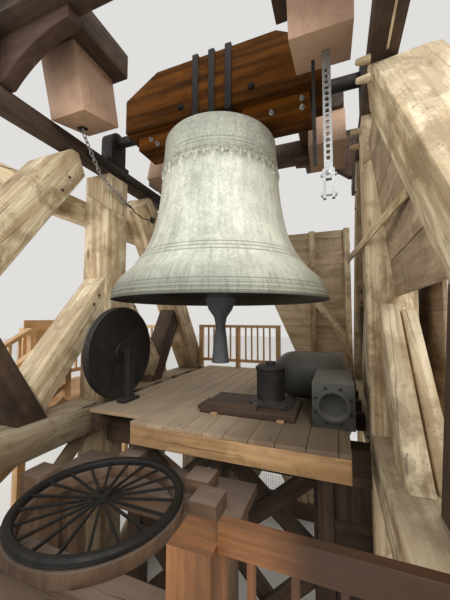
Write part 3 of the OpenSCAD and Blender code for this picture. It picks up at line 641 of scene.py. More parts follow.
def bronze_paint(name, pale, grey, stain, streaky=1.0):
    """Old bell bronze: a pale mottled patina with runs, specks and a dark lip; painted shade at the mouldings
    and on the bow's left, painted light on the right.
    """
    paint = Paint(name, 0.6, 0.1)
    place = paint.place()
    x, y, z = paint.parts(place)
    radius = (x * x + y * y) ** 0.5
    round_x = x / radius
    round_y = y / radius
    height = z - LIP_Z
    wander = paint.noise(place, 3.0, 3.0, 0.6)
    runs = paint.noise(paint.join(round_x * 11 + wander, round_y * 11 + wander, height * 1.5), 1.0, 9.0, 0.70)
    drips = paint.noise(paint.join(round_x * 34 + wander, round_y * 34, height * 3.0), 1.0, 5.0, 0.65)
    cloud = paint.noise(place, 3.4, 9.0, 0.72, 0.3)
    speck = paint.noise(place, 30.0, 5.0, 0.75)
    pits = paint.noise(place, 90.0, 3.0, 0.65)
    low = height.band(0.08, 0.50, 1.0, 0.0)
    waist = height.band(0.38, 0.44) * height.band(0.52, 0.60, 1.0, 0.0)
    high = height.band(1.42, 1.58)
    bow = height.band(0.10, 0.34, 1.0, 0.0)
    ground = height.band(1.46, 1.55) * height.band(1.62, 1.65, 1.0, 0.0)
    # across the bell from the camera's left to its right, for the painted shade on the sound bow
    painted_shade_across = round_x * 0.93 + round_y * 0.36
    layers = [(drips.band(0.52, 0.66) * cloud.band(0.44, 0.58) * (0.34 * streaky), stain),
              (cloud.band(0.54, 0.66, 0.0, 0.30 * streaky), grey),
              (high * 0.34 + low * 0.42 + waist * 0.16, grey),
              (high * speck.band(0.44, 0.60) * 0.42, stain),
              (low * drips.band(0.48, 0.62) * 0.34, stain),
              (low * (drips.band(0.60, 0.68) * speck.band(0.4, 0.5)) * 0.8, pale),
              # painted shade: the sound bow darker towards its left
              (bow * painted_shade_across.band(-0.6, 0.7, 0.58, 0.16), stain),
              (ground * speck.band(0.42, 0.56, 0.2, 0.6), stain)]
    # painted shade with dirt: a thin dark line at the upper edge of each moulding
    layers += [(abs(height - (ring + 1.05 * half)).band(0.002, 0.010, 0.55, 0.0), stain)
               for ring, half, _ in MOULDINGS]
    layers += [(pits.band(0.58, 0.70) * 0.45, stain),
               (height.band(0.0, 0.05, 0.85, 0.0), times(0.35, stain))]
    share = runs.band(0.36, 0.64) * 0.34 + cloud.band(0.40, 0.60) * 0.34 + speck.band(0.38, 0.62) * 0.32
    # painted light: the wall paler towards its right side
    share = share + round_x.band(0.2, 1.0, 0.0, 0.45)
    colour = paint.lay(paint.mix(share.maths("MINIMUM", 1.0), grey, pale), layers)
    rough = cloud.band(0.3, 0.7, 0.5, 0.68)
    return paint.finish(colour, rough, pits * 0.5 + speck * 0.7 + cloud * 0.6, 0.0018)


# Woods: light tone, dark tone, tone of the cracks, and what sets each apart
# aged_oak, deck_oak and varnished get painted shade through their shade functions
WOODS = {
    "aged_oak": ((255, 240, 204), (168, 136, 94), (34, 22, 15),
                 dict(cracked=1.0, dust=0.2, worm=0.6, stained=0.6, knots=0.9, shade=painted_shade_low_left)),
    "dark_oak": ((90, 68, 49), (50, 35, 24), (16, 10, 7),
                 dict(cracked=0.4, dust=0.25, dust_tone=linear(112, 94, 75), stained=0.4)),
    "red_oak": ((96, 68, 49), (60, 40, 28), (26, 15, 10), dict(cracked=0.5, dust=0.1, hewn=0.7)),
    "sawn_oak": ((206, 168, 118), (146, 109, 70), (60, 38, 22),
                 dict(cracked=0.6, dust=0.1, hewn=0.6, worm=0.3, stained=0.45)),
    "deck_oak": ((216, 188, 154), (172, 143, 111), (62, 46, 34),
                 dict(cracked=0.3, dust=0.5, dust_tone=linear(182, 166, 144), hewn=0.3, wide=1.4,
                      shade=painted_shade_deck_right)),
    "block_oak": ((208, 172, 146), (182, 147, 122), (84, 52, 38),
                  dict(cracked=-0.2, dust=0.1, hewn=0.3, worm=0.8, plain=0.8, stained=0.12)),
    "well_oak": ((132, 103, 76), (86, 62, 43), (30, 18, 12), dict(cracked=0.3, hewn=0.4, plain=0.4)),
    "varnished": ((160, 104, 54), (92, 56, 28), (36, 20, 10),
                  dict(cracked=-0.6, dust=0.05, hewn=0.1, rough=0.45, shade=painted_shade_rail_right)),
    "new_pine": ((236, 200, 150), (204, 158, 106), (110, 72, 44),
                 dict(cracked=-0.4, dust=0.1, hewn=0.1, rough=0.6, wide=0.8)),
    "stock_oak": ((126, 74, 18), (40, 23, 5), (12, 7, 4),
                  dict(dust=0.0, rough=0.8, hewn=0.3, wide=1.6, stained=0.15, sheen=0.12)),
    "boarding": ((206, 182, 150), (146, 122, 94), (40, 29, 20),
                 dict(cracked=0.4, dust=0.15, wide=1.3, hewn=0.6, worm=0.3, stained=0.5)),
    "pale_boarding": ((236, 214, 180), (186, 162, 130), (44, 31, 21),
                      dict(cracked=0.4, dust=0.15, wide=1.3, hewn=0.6, stained=0.4)),
}
# Bronzes: pale tone, grey tone, tone of the stains, and how strong the runs are
BRONZES = {
    "bronze": ((234, 236, 219), (168, 170, 155), (98, 99, 86), 1.0),
    "bronze_relief": ((244, 244, 228), (204, 205, 188), (140, 139, 124), 1.0),
    "bronze_inside": ((96, 92, 80), (58, 54, 46), (34, 30, 26), 0.5),
}
PAINTS = {}


def paints():
    """The finishes, each made once."""
    if PAINTS:
        return PAINTS
    for name, (light, dark, crack, settings) in WOODS.items():
        PAINTS[name] = oak_paint(name, linear(*light), linear(*dark), linear(*crack), **settings)
    PAINTS["iron"] = iron_paint("iron", (0.020, 0.018, 0.017))
    PAINTS["black_iron"] = iron_paint("black_iron", (0.007, 0.006, 0.005), (0.03, 0.016, 0.009), 0.02, 0.2,
                                      0.0)
    PAINTS["grey_iron"] = iron_paint("grey_iron", (0.10, 0.105, 0.115), (0.14, 0.10, 0.07), 0.15, 0.2, 0.2)
    PAINTS["zinc"] = zinc_paint("zinc")
    PAINTS["machine_paint"] = enamel_paint("machine_paint", linear(64, 64, 60), linear(30, 27, 24))
    PAINTS["cream_paint"] = enamel_paint("cream_paint", linear(210, 200, 160), linear(150, 138, 104))
    for name, (pale, grey, stain, streaky) in BRONZES.items():
        PAINTS[name] = bronze_paint(name, linear(*pale), linear(*grey), linear(*stain), streaky)
    return PAINTS


def length(name, description, default):
    """A length that can be set in the panel."""
    return bpy.props.FloatProperty(name=name, description=description, default=default, unit="LENGTH")


# Plain timbers and ironwork of the frame


class BellFrameTimber(bpy.types.PropertyGroup):
    arris: length("Worn edge", "Width of the worn edges of the great timbers", 0.010)
    small_arris: length("Planed edge", "Width of the rounded edges of rails and posts", 0.005)
    iron_edge: length("Iron edge", "Width of the rounded edges of the ironwork", 0.004)


# Nodes by finish: slot, the paint used there, whether several timbers are joined in one solid, and names
TIMBERS = (
    ("aged_oak", "aged_oak", False, "corner_posts bearing_posts cross_girts side_girts side_braces "
                                    "back_posts back_braces raking_struts lower_struts side_rails "
                                    "back_studs"),
    ("aged_oak", "well_oak", False, "well_posts"),
    ("dark_oak", "dark_oak", False, "side_soles cross_soles deck_joists cross_ties crown_plates well_sole "
                                    "counter_braces guard_sill deck_plinth top_plates upper_posts "
                                    "middle_girt middle_posts middle_rails middle_braces"),
    ("dark_oak", "red_oak", False, "arch_braces"),
    ("sawn_oak", "sawn_oak", False, "deck_edge_beam"),
    ("sawn_oak", "block_oak", False, "hanging_posts"),
    ("sawn_oak", "well_oak", False, "well_bearers well_curb"),
    ("sawn_oak", "varnished", True, "guard_rail"),
    ("new_pine", "new_pine", False, "gallery_posts stair_strings stair_treads"),
    ("new_pine", "new_pine", True, "gallery gallery_railing back_railing"),
)
PLANED = ("new_pine", "varnished", "block_oak", "well_oak")
# Nodes of metal: body, slot, paint, and names
IRONWORK = (
    (FRAME_BODY, "iron", "iron", "bearings winch_drum drive_disc"),
    (BELL_BODY, "iron", "iron", "stock_straps gudgeons clapper_staple"),
    (FRAME_BODY, "iron", "black_iron", "spoked_wheel"),
)


class BELLFRAME_OT_great_timbers(bpy.types.Operator):
    """Dresses the posts, struts, girts, ties, plates, gallery and railings as wood"""

    bl_idname = "bellframe.great_timbers"
    bl_label = "Great Timbers"

    def execute(self, context):
        look = context.scene.bell_frame_timber
        seed = 1
        for slot, paint, joined, names in TIMBERS:
            width = look.small_arris if paint in PLANED else look.arris
            segments, soft = (1, None) if joined else (2, 50)
            for node in names.split():
                dress(node, FRAME_BODY, paint, width, segments, 20, soft, seed, joined)
                seed += 1
        return {"FINISHED"}


class BELLFRAME_OT_ironwork(bpy.types.Operator):
    """Dresses bearings, wheel, machinery, straps, gudgeons and the hanger bar"""

    bl_idname = "bellframe.ironwork"
    bl_label = "Ironwork"

    def execute(self, context):
        edge = context.scene.bell_frame_timber.iron_edge
        for body, slot, paint, names in IRONWORK:
            for node in names.split():
                dress(node, body, paint, edge)
        dress("drive_housing", FRAME_BODY, "machine_paint", 1.5 * edge)
        bar = copy_node("hanger_bar")
        cut_slots(bar)
        smooth(bar, 30)
        finish_piece(bar, "dressed_hanger_bar", FRAME_BODY, "zinc", ("hanger_bar",))
        return {"FINISHED"}


def cut_slots(bar):
    """Cuts the row of long slots through the hanger bar."""
    low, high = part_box("hanger_bar")
    middle = (low.x + high.x) / 2
    half_width = 0.016
    slot_height = 0.036
    pitch = 0.052
    first = low.z + 0.33
    last = high.z - 0.12
    cutters = [beam("slot", (middle - half_width, low.y - 0.05, first + i * pitch),
                    (middle + half_width, high.y + 0.05, first + i * pitch + slot_height), 0.010)
               for i in range(int((last - first) / pitch))]
    cutter = merge("slots", cutters)
    add_modifier(bar, "BOOLEAN", operation="DIFFERENCE", solver="EXACT", object=cutter)
    remove(cutter)


# Boards


class BellFrameBoards(bpy.types.PropertyGroup):
    deck_board: length("Deck board", "Width of a board of the deck", 0.235)
    wall_board: length("Wall board", "Width of a board of the right wall", 0.40)
    back_board: length("Back board", "Width of a board at the back", 0.26)
    spandrel_board: length("Spandrel board", "Width of a board beside the front right post", 0.34)
    back_edge: length("Back edge", "Left edge of the boards at the back at deck level", 0.69)
    back_slope: bpy.props.FloatProperty(
        name="Back slope", description="How far that edge moves left for each metre up", default=0.443)
    seam: length("Seam", "Gap between two boards of the deck", 0.006)
    tight_seam: length("Tight seam", "Gap between two boards of a wall", 0.0012)


# How much boards differ in width, and the least share of a width that is laid as a board of its own
BOARD_SPREAD = (0.86, 1.14)
BOARD_LEAST = 0.35


def planks(low, high, across, width, seam, draw, bevel=0.006, inset=0.004):
    """Boards side by side in a box: across is the axis, 0 to 2, in which one follows the other."""
    low = Vector(low)
    high = Vector(high)
    thin = min(range(3), key=lambda i: high[i] - low[i])
    made = []
    at = low[across]
    while at < high[across] - 0.03:
        stop = min(at + width * draw.uniform(*BOARD_SPREAD), high[across])
        if high[across] - stop < BOARD_LEAST * width:
            stop = high[across]
        a = low.copy()
        b = high.copy()
        a[across] = at
        b[across] = stop - (seam if stop < high[across] else 0)
        b[thin] -= draw.uniform(0, inset)
        made.append(beam("plank", a, b, bevel, 1))
        at = stop
    return made


def split_boards(node, width, seam=0.008, bevel=0.004):
    """Splits a leaning panel into level boards with a narrow seam between them."""
    piece = copy_node(node)
    low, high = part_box(node)
    boards = []
    at = low.z
    while at < high.z - 0.02:
        board = copy_piece(piece)
        cut_off(board, (0, 0, at + seam), (0, 0, -1))
        cut_off(board, (0, 0, at + width), (0, 0, 1))
        boards.append(round_edges(board, bevel, 1))
        at += width
    remove(piece)
    return boards


class BELLFRAME_OT_boards(bpy.types.Operator):
    """Lays the deck and nails up the boarding, board by board"""

    bl_idname = "bellframe.boards"
    bl_label = "Boards"

    def execute(self, context):
        look = context.scene.bell_frame_boards
        seam = look.tight_seam
        draw = random.Random(7)
        low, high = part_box("deck_boards")
        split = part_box("deck_edge_beam")[0].x
        left = ((low.x, -0.66, low.z), (split - look.seam, high.y, high.z))
        right = ((split, low.y, low.z), high)
        deck = []
        for front, back in (left, right):
            deck += planks(front, back, 0, look.deck_board, look.seam, draw, 0.004, 0.003)
        wood_piece("deck_planks", deck, 201, "deck_oak", ("deck_boards",))

        low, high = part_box("right_boarding")
        gap_low = LIP_Z + 1.30
        gap_high = LIP_Z + 1.42
        wall = planks(low, (high.x, high.y, gap_low), 2, look.wall_board, seam, draw, 0.007, 0.006)
        wall += planks((low.x, low.y, gap_high), high, 2, look.wall_board, seam, draw, 0.007, 0.006)
        wood_piece("right_wall_boards", wall, 202, "boarding", ("right_boarding",))

        low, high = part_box("back_boarding")
        back = merge("back", planks(low, high, 2, look.back_board, seam, draw))
        edge = Vector((look.back_edge, low.y, DECK_Z))
        cut_off(back, edge, (-1, 0, -look.back_slope))
        foot = planks((edge.x, low.y, low.z), (high.x, high.y, DECK_Z), 2, look.back_board, seam, draw)
        foot = merge("foot", foot)
        cut_off(back, edge, (0, 0, -1))
        wood_piece("back_wall_boards", [back, foot], 203, "pale_boarding", ("back_boarding",))

        low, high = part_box("middle_boarding")
        middle = planks(low, high, 2, look.wall_board, seam, draw)
        wood_piece("middle_wall_boards", middle, 204, "dark_oak", ("middle_boarding",))

        spandrel = split_boards("spandrel_boarding", look.spandrel_board)
        wood_piece("spandrel_boards", spandrel, 205, "boarding", ("spandrel_boarding",))
        return {"FINISHED"}


# Bell


class BellFrameBell(bpy.types.PropertyGroup):
    leaves: bpy.props.IntProperty(
        name="Leaves", description="Number of leaves in the frieze round the shoulder", default=23, min=12)
    leaf_height: length("Leaf height", "Height of a leaf of the frieze", 0.165)
    relief: length("Relief", "How far the leaves stand out of the wall", 0.018)


# Heights above the lip: the sound bow, the middle of the frieze, and where the wall turns into the crown
BOW_H = 0.255
FRIEZE_H = 1.548
SHOULDER_H = 1.96
CROWN_THICK = 0.11
# How the outside draws in over the sound bow, then how it tapers up the waist, and its flare below that
BOW_DRAW = 0.29
BOW_CURVE = 0.034
WAIST_IN = 0.53
WAIST_TAPER = 0.035
FLARE = 0.85
FLARE_H = 0.375


def bell_radius(z):
    """Outer radius of the plain bell at a height above its lip."""
    if z < BOW_H:
        return LIP_R - BOW_DRAW * z - BOW_CURVE * (z / BOW_H) ** 4
    return LIP_R - WAIST_IN - WAIST_TAPER * z + FLARE * math.exp(-z / FLARE_H)


def bell_wall(z):
    """Thickness of the bell's wall at a height above its lip: thickest at the sound bow."""
    thickest = 0.13
    if z < thickest:
        return 0.03 + 0.16 * math.sin(math.pi / 2 * z / thickest)
    return 0.084 + 0.106 * math.exp((thickest - z) / 0.22)


def bell_line():
    """Closed profile of the bell, from the lip over the outside and the crown, and back down inside."""
    turn = 0.11
    top_r = bell_radius(SHOULDER_H) - turn
    outside = [(bell_radius(z), z) for z in (round(0.02 * i, 4) for i in range(98))
               if all(abs(z - middle) > half + 0.004 for middle, half, _ in MOULDINGS)]
    for middle, half, out in MOULDINGS:
        outside += [(bell_radius(middle + k * half) + out * (1 - k * k), middle + k * half)
                    for k in (-1.0, -0.75, -0.4, 0.0, 0.4, 0.75, 1.0)]
    outside.sort(key=lambda point: point[1])
    outside += [(top_r + turn * math.cos(math.radians(a)), SHOULDER_H + 0.09 * math.sin(math.radians(a)))
                for a in range(0, 90, 10)]
    outside += [(0.46, SHOULDER_H + 0.100), (0.40, CROWN_H - 0.012), (0.385, CROWN_H - 0.003),
                (0.37, CROWN_H)]
    inner_top = CROWN_H - CROWN_THICK
    inside = [(0.22, inner_top), (top_r - 0.16, inner_top - 0.03)]
    z = inner_top - 0.13
    while z > 0.0:
        inside.append((bell_radius(z) - bell_wall(z), z))
        z -= 0.06
    inside.append((bell_radius(0) - bell_wall(0), 0.0))
    return outside + [(0.0, CROWN_H), (0.0, inner_top)] + inside + outside[:1]


def lobe(relief, across, rise, wide, high, lean=0):
    """One rounded lobe of a leaf."""
    return add_shape(bpy.ops.mesh.primitive_uv_sphere_add, (across, 0, rise), (0, math.radians(lean), 0),
                     (wide, relief, high), segments=8, ring_count=5, radius=1)


def make_leaf(look, radius):
    """One pendant leaf with two curled side lobes, and the arch and bud that join it to the next leaf."""
    relief = look.relief
    pieces = [add_shape(bpy.ops.mesh.primitive_cone_add, (0, 0, -0.040), (math.pi, 0, 0),
                        (0.042, 0.9 * relief, 0.100), vertices=8, radius1=1.0, radius2=0.15, depth=1.0),
              lobe(relief, 0, 0.012, 0.042, 0.040), lobe(relief, -0.054, 0.020, 0.017, 0.040, 50),
              lobe(relief, 0.054, 0.020, 0.017, 0.040, -50), lobe(relief, 0, -0.090, 0.013, 0.022)]
    bud = lobe(relief, 0, 0.005, 0.024, 0.050)
    arch = add_shape(bpy.ops.mesh.primitive_torus_add, (0, 0, 0.030), (math.pi / 2, 0, 0), major_segments=16,
                     minor_segments=4, major_radius=0.048, minor_radius=0.008)
    half_pitch = Matrix.Rotation(math.pi / look.leaves, 4, "Z")
    axis = Matrix.Translation((0, radius, 0))
    for piece in (bud, arch):
        piece.matrix_world = axis @ half_pitch @ axis.inverted()
        pieces.append(settle(piece))
    leaf = merge("leaf", pieces)
    leaf.scale.z = look.leaf_height / leaf.dimensions.z
    return settle(leaf)


class BELLFRAME_OT_bell(bpy.types.Operator):
    """Casts the bell: its spun wall with the mouldings and the frieze of leaves"""

    bl_idname = "bellframe.bell"
    bl_label = "Bell"

    def execute(self, context):
        look = context.scene.bell_frame_bell
        bell = draw_line("bell_wall", [(r, 0, LIP_Z + z) for r, z in bell_line()])
        edit_all(bell)
        bpy.ops.mesh.spin(steps=144, angle=2 * math.pi, center=(0, 0, LIP_Z), axis=(0, 0, 1), dupli=False)
        bpy.ops.mesh.select_all(action="SELECT")
        bpy.ops.mesh.remove_doubles(threshold=0.0001)
        bpy.ops.mesh.delete_loose()
        close_edit(bell)
        smooth(bell, 42)
        finish_piece(bell, "bell_wall", BELL_BODY, "bronze", ("bell",))
        bell.data.materials.append(paints()["bronze_inside"])
        skin = 0.02
        crown_skin = 0.05
        for face in bell.data.polygons:
            reach = math.hypot(face.center.x, face.center.y)
            height = face.center.z - LIP_Z
            if reach < bell_radius(height) - skin and height < CROWN_H - crown_skin:
                face.material_index = 1

        radius = bell_radius(FRIEZE_H)
        leaf = make_leaf(look, radius)
        below = 1.53
        above = 1.60
        slope = (bell_radius(above) - bell_radius(below)) / (above - below)
        leaf.matrix_world = (Matrix.Translation((0, -radius, LIP_Z + FRIEZE_H))
                             @ Matrix.Rotation(math.atan(slope), 4, "X"))
        leaves = [settle(leaf)]
        for i in range(1, look.leaves):
            leaves.append(copy_piece(leaf, turn=Matrix.Rotation(2 * math.pi * i / look.leaves, 4, "Z")))
        frieze = smooth(merge("frieze", leaves), 60)
        finish_piece(frieze, "leaf_frieze", BELL_BODY, "bronze_relief")
        return {"FINISHED"}


class BELLFRAME_OT_crown(bpy.types.Operator):
    """Dresses the crown loops, the headstock and the clapper"""

    bl_idname = "bellframe.crown"
    bl_label = "Crown, Headstock and Clapper"

    def execute(self, context):
        dress("crown_loops", BELL_BODY, "bronze", 0.006, soft=50)
        dress("headstock", BELL_BODY, "stock_oak", 0.012, angle=15, seed=301)
        dress("clapper", CLAPPER_BODY, "grey_iron", 0.008)
        return {"FINISHED"}


# Small ironwork, laths, mesh and nails


class BellFrameFittings(bpy.types.PropertyGroup):
    link: length("Chain link", "Length that a link adds to the chain", 0.052)
    wire: length("Chain wire", "Thickness of the wire of the chain", 0.013)
    mesh_pitch: length("Mesh", "Distance between the wires of the guard mesh", 0.024)
    nail: length("Nail", "Radius of a nail head", 0.006)
    peg: length("Peg", "Radius of the wooden pegs of the joints", 0.017)
    pin: length("Draw pin", "How far the long pins stand out of the right bent", 0.11)


# Where the hoisting chain hangs, from under the front left hanging post to its hook, and its strap after it
CHAIN_ROUTE = ((-1.49, -0.852, 6.31), (-1.53, -0.69, 6.15), (-1.56, -0.47, 5.93), (-1.58, -0.19, 5.82),
               (-1.60, 0.14, 5.737))
STRAP_ROUTE = ((-1.60, 0.22, 5.722), (-1.605, 0.34, 5.675), (-1.61, 0.48, 5.655), (-1.615, 0.62, 5.665),
               (-1.62, 0.76, 5.695), (-1.625, 0.85, 5.73))
# Places of small fittings: bolts and knobs of the headstock by x and z, pegs and draw pins by y and z
STOCK_BOLTS = (-0.43, 0.50)
CHEEK_KNOBS = ((-0.94, 6.43), (-0.835, 6.345), (0.72, 6.37), (1.065, 6.45), (1.065, 6.345))
PEGS = ((0.86, 5.72), (0.95, 5.52), (2.68, 2.73), (2.86, 2.64), (0.33, 4.30), (0.42, 4.18), (0.08, 2.73),
        (0.08, 2.60))
DRAW_PINS = ((-1.03, 5.99), (-1.00, 5.86), (-0.13, 5.975), (0.13, 5.955))


def along_route(route, distance):
    """The point at a distance along a route, and the way on from there."""
    for a, b in zip(route, route[1:]):
        span = Vector(b) - Vector(a)
        if distance <= span.length:
            break
        distance -= span.length
    return Vector(a).lerp(Vector(b), distance / span.length), span.normalized()


def hoisting_chain(look):
    """The links of the hoisting chain, each a quarter turn on from the last."""
    link = add_shape(bpy.ops.mesh.primitive_torus_add, scale=(1.55, 1, 1), major_segments=10,
                     minor_segments=5, major_radius=0.42 * look.link, minor_radius=look.wire / 2)
    chain_length = sum((Vector(b) - Vector(a)).length for a, b in zip(CHAIN_ROUTE, CHAIN_ROUTE[1:]))
    links = []
    for i in range(int(chain_length / look.link + 0.5)):
        at, way = along_route(CHAIN_ROUTE, look.link * (i + 0.5))
        towards = way.to_track_quat("X", "Z").to_matrix().to_4x4()
        roll = Matrix.Rotation(math.radians(90 * (i % 2) + 25), 4, "X")
        links.append(copy_piece(link, at, towards @ roll))
    remove(link)
    iron_piece("hoisting_chain", links, paint="zinc")


def chain_strap():
    """The chain's top plate and turnbuckle, and the strap that ties it to the back left strut."""
    top = Vector(CHAIN_ROUTE[0])
    hook = Vector(CHAIN_ROUTE[-1])
    ring = Vector(STRAP_ROUTE[-1])
    wall = Vector((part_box("cross_soles")[0].x, ring.y, ring.z))
    parts = [beam("plate", top - Vector((0.05, 0.05, 0.004)), top + Vector((0.05, 0.05, 0.03)), 0.003, 1),
             rod("turnbuckle", hook - Vector((0, 0.02, -0.004)), STRAP_ROUTE[0], 0.016, 10, 0.003)]
    parts += [rod("strap", a, b, 0.009, 8) for a, b in zip(STRAP_ROUTE, STRAP_ROUTE[1:])]
    parts.append(add_shape(bpy.ops.mesh.primitive_torus_add, ring, (0, math.pi / 2, 0), major_segments=14,
                           minor_segments=6, major_radius=0.034, minor_radius=0.008))
    parts.append(rod("eye", wall, ring + Vector((0.02, 0, 0)), 0.010, 8))
    wall_low = wall - Vector((0.004, 0.05, 0.05))
    parts.append(beam("eye_plate", wall_low, wall + Vector((0.008, 0.05, 0.05)), 0.003, 1))
    iron_piece("chain_strap", parts)


def plate_angle():
    """The steel angle bolted under the inner edge of the left plate."""
    front, back = -0.62, 1.20
    thick = 0.010
    web_height = 0.08
    flange_width = 0.065
    bolt_pitch = 0.32
    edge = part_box("cross_soles")[0].x
    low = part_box("top_plates")[0].z + 0.03
    parts = [beam("web", (edge, front, low), (edge + thick, back, low + web_height), 0.002, 1),
             beam("flange", (edge, front, low), (edge + flange_width, back, low + thick), 0.002, 1)]
    parts += [hex_bolt("bolt", (edge + thick, bolt_pitch * i - 0.5, low + 0.045), (1, 0, 0), 0.03, 0.016)
              for i in range(6)]
    iron_piece("plate_angle", parts, paint="iron")


def stock_bolts():
    """Through bolts of the headstock, and the pale ends of the bolts that hold its cheeks."""
    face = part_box("headstock")[0].y
    pin = LIP_Z + 2.485
    bolts = [hex_bolt("bolt", (x, -face * facing, pin), (0, facing, 0), 0.062, 0.024)
             for x in STOCK_BOLTS for facing in (-1, 1)]
    iron_piece("stock_bolts", bolts, BELL_BODY)
    cheek = -0.198
    knobs = []
    for x, z in CHEEK_KNOBS:
        knobs.append(rod("knob", (x, cheek, z), (x, cheek - 0.047, z), 0.017, 10, 0.004))
        knobs.append(rod("collar", (x, cheek, z), (x, cheek - 0.014, z), 0.030, 12, 0.002))
    iron_piece("cheek_bolts", knobs, BELL_BODY, "zinc")


def hanger_fork():
    """Bolts through the fork of the hanger bar, and the dark strap beside the bar."""
    low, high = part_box("hanger_bar")
    middle = (low.x + high.x) / 2
    y = (low.y + high.y) / 2
    nut = 0.014
    parts = []
    for z in (low.z + 0.03, low.z + 0.205):
        parts.append(rod("bolt", (low.x - 0.018, y, z), (high.x + 0.018, y, z), 0.010, 8))
        for x in (low.x - 0.012, high.x - 0.002):
            parts.append(rod("nut", (x, y, z), (x + nut, y, z), 0.018, 6))
    z = low.z + 0.215
    parts.append(rod("pivot", (middle, low.y - nut, z), (middle, high.y + nut, z), 0.020, 12, 0.003))
    iron_piece("hanger_bolts", parts, paint="zinc")
    strap = beam("strap", (low.x - 0.075, y - 0.004, low.z + 0.30), (low.x - 0.045, y + 0.004, high.z - 0.06),
                 0.002, 1)
    iron_piece("hanger_strap", [strap])


def guard_mesh(look):
    """Fine wire mesh in a thin frame, on the braces under the front of the deck."""
    low = Vector((0.07, -0.112, 1.45))
    high = Vector((1.14, -0.100, 2.29))
    width = 0.012
    left = low.x + width
    foot = low.z + width
    boxes = ((low, (high.x, high.y, foot)), ((low.x, low.y, high.z - width), high),
             (low, (left, high.y, high.z)), ((high.x - width, low.y, low.z), high))
    bars = [beam("bar", a, b, 0.002, 1) for a, b in boxes]
    wire = 0.0012
    y = low.y + 0.005
    upright = rod("wire", (left, y, low.z), (left, y, high.z), wire, 4)
    y = low.y + 0.0075
    level = rod("wire", (low.x, y, foot), (high.x, y, foot), wire, 4)
    wires = [upright, level]
    pitch = look.mesh_pitch
    uprights = int((high.x - low.x - 2 * width) / pitch)
    levels = int((high.z - low.z - 2 * width) / pitch)
    wires += [copy_piece(upright, (pitch * (i + 0.5), 0, 0)) for i in range(uprights)]
    wires += [copy_piece(level, (0, 0, pitch * (i + 0.5))) for i in range(levels)]
    iron_piece("guard_mesh", bars + wires)


def deck_nails(look):
    """Two nail heads in each board of the deck over each joist."""
    low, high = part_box("deck_boards")
    left = -0.62
    step = 0.118
    joist_pitch = 0.62
    draw = random.Random(11)
    head = rod("nail", (0, 0, high.z - 0.001), (0, 0, high.z + 0.0015), look.nail, 6)
    nails = []
    y = low.y + 0.09
    while y < high.y - 0.05:
        x = left
        while x < high.x - 0.03:
            move = (x + draw.uniform(-0.006, 0.006), y + draw.uniform(-0.012, 0.012), 0)
            nails.append(copy_piece(head, move))
            x += step
        y += joist_pitch
    remove(head)
    iron_piece("deck_nails", nails)


def machine_bolts():
    """Bolts of the drum's base and of the housing's round mouth."""
    low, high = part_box("winch_drum")
    inset = 0.035
    bolts = [hex_bolt("bolt", (x, y, low.z + 0.020), (0, 0, 1), 0.034, 0.022)
             for x in (low.x + inset, high.x - inset) for y in (low.y + inset, high.y - inset)]
    house_low, house_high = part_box("drive_housing")
    centre = Vector((house_high.x - 0.2, house_low.y + 0.025, house_low.z + 0.22))
    mouth_radius = 0.182
    for i in range(8):
        angle = math.radians(45 * i + 22.5)
        at = centre + mouth_radius * Vector((math.cos(angle), 0, math.sin(angle)))
        bolts.append(hex_bolt("bolt", at, (0, -1, 0), 0.022, 0.014))
    iron_piece("machine_bolts", bolts, paint="iron")


def platform_wood():
    """Loose planks and wedges on and beside the platform of the machinery."""
    low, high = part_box("deck_plinth")
    boxes = (((low.x + 0.05, low.y + 0.02, high.z), (high.x - 0.42, low.y + 0.15, high.z + 0.035)),
             ((low.x - 0.05, low.y + 0.05, low.z + 0.03), (low.x, high.y - 0.30, high.z - 0.012)))
    boards = [beam("plank", near, far, 0.004, 1) for near, far in boxes]
    wood_piece("platform_planks", boards, 401, "dark_oak")
    wedges = [beam("wedge", (x, low.y - 0.03, low.z), (x + 0.075, low.y + 0.01, low.z + 0.026), 0.003, 1)
              for x in (0.01, 0.76)]
    wood_piece("platform_wedges", wedges, 402, "sawn_oak")


def laths():
    """The raking lath across the front right post and the batten under the right plate."""
    pieces = [strip("lath", (1.822, -1.25, 4.82), (1.52, 0.55, 4.72), 0.075, 0.020, (1, 0.17, 0)),
              strip("batten", (1.79, -1.92, 6.092), (1.79, -0.96, 6.092), 0.016, 0.014, (0, 0, 1))]
    wood_piece("laths", pieces, 403, "aged_oak")


def joint_pegs(look):
    """Ends of the oak pegs that lock the struts and girts of the two bents, and the long draw pins."""
    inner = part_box("cross_soles")[1].x
    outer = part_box("bearing_posts")[1].x
    peg = rod("peg", (0, 0, 0), (0.018, 0, 0), look.peg, 8, 0.003)
    pegs = [copy_piece(peg, (x, side * y, z))
            for x in (-inner - 0.002, -outer - 0.010, inner - 0.016, outer - 0.004)
            for y, z in PEGS for side in (-1, 1) if x < 0 or side > 0 or y < 0.1]
    remove(peg)
    wood_piece("pegs", pegs, 404, "dark_oak")
    pins = []
    for y, z in DRAW_PINS:
        pin = add_shape(bpy.ops.mesh.primitive_cone_add, (inner - look.pin / 2 + 0.002, y, z),
                        (0, -math.pi / 2, 0), vertices=12, radius1=0.036, radius2=0.022, depth=look.pin)
        pins.append(smooth(round_edges(pin, 0.012, 2, 40), 50))
    wood_piece("draw_pins", pins, 406, "aged_oak")


def gallery_panel():
    """The plywood panel and the cream post on the outer side of the gallery."""
    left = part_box("gallery")[0].x + 0.065
    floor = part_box("gallery")[1].z
    panel = beam("panel", (left, -0.34, floor + 0.08), (left + 0.015, 0.21, floor + 1.06), 0.002, 1)
    wood_piece("gallery_panel", [panel], 405, "new_pine")
    post = beam("post", (left, 0.225, floor), (left + 0.060, 0.285, floor + 1.11))
    finish_piece(post, "gallery_end_post", FRAME_BODY, "cream_paint")


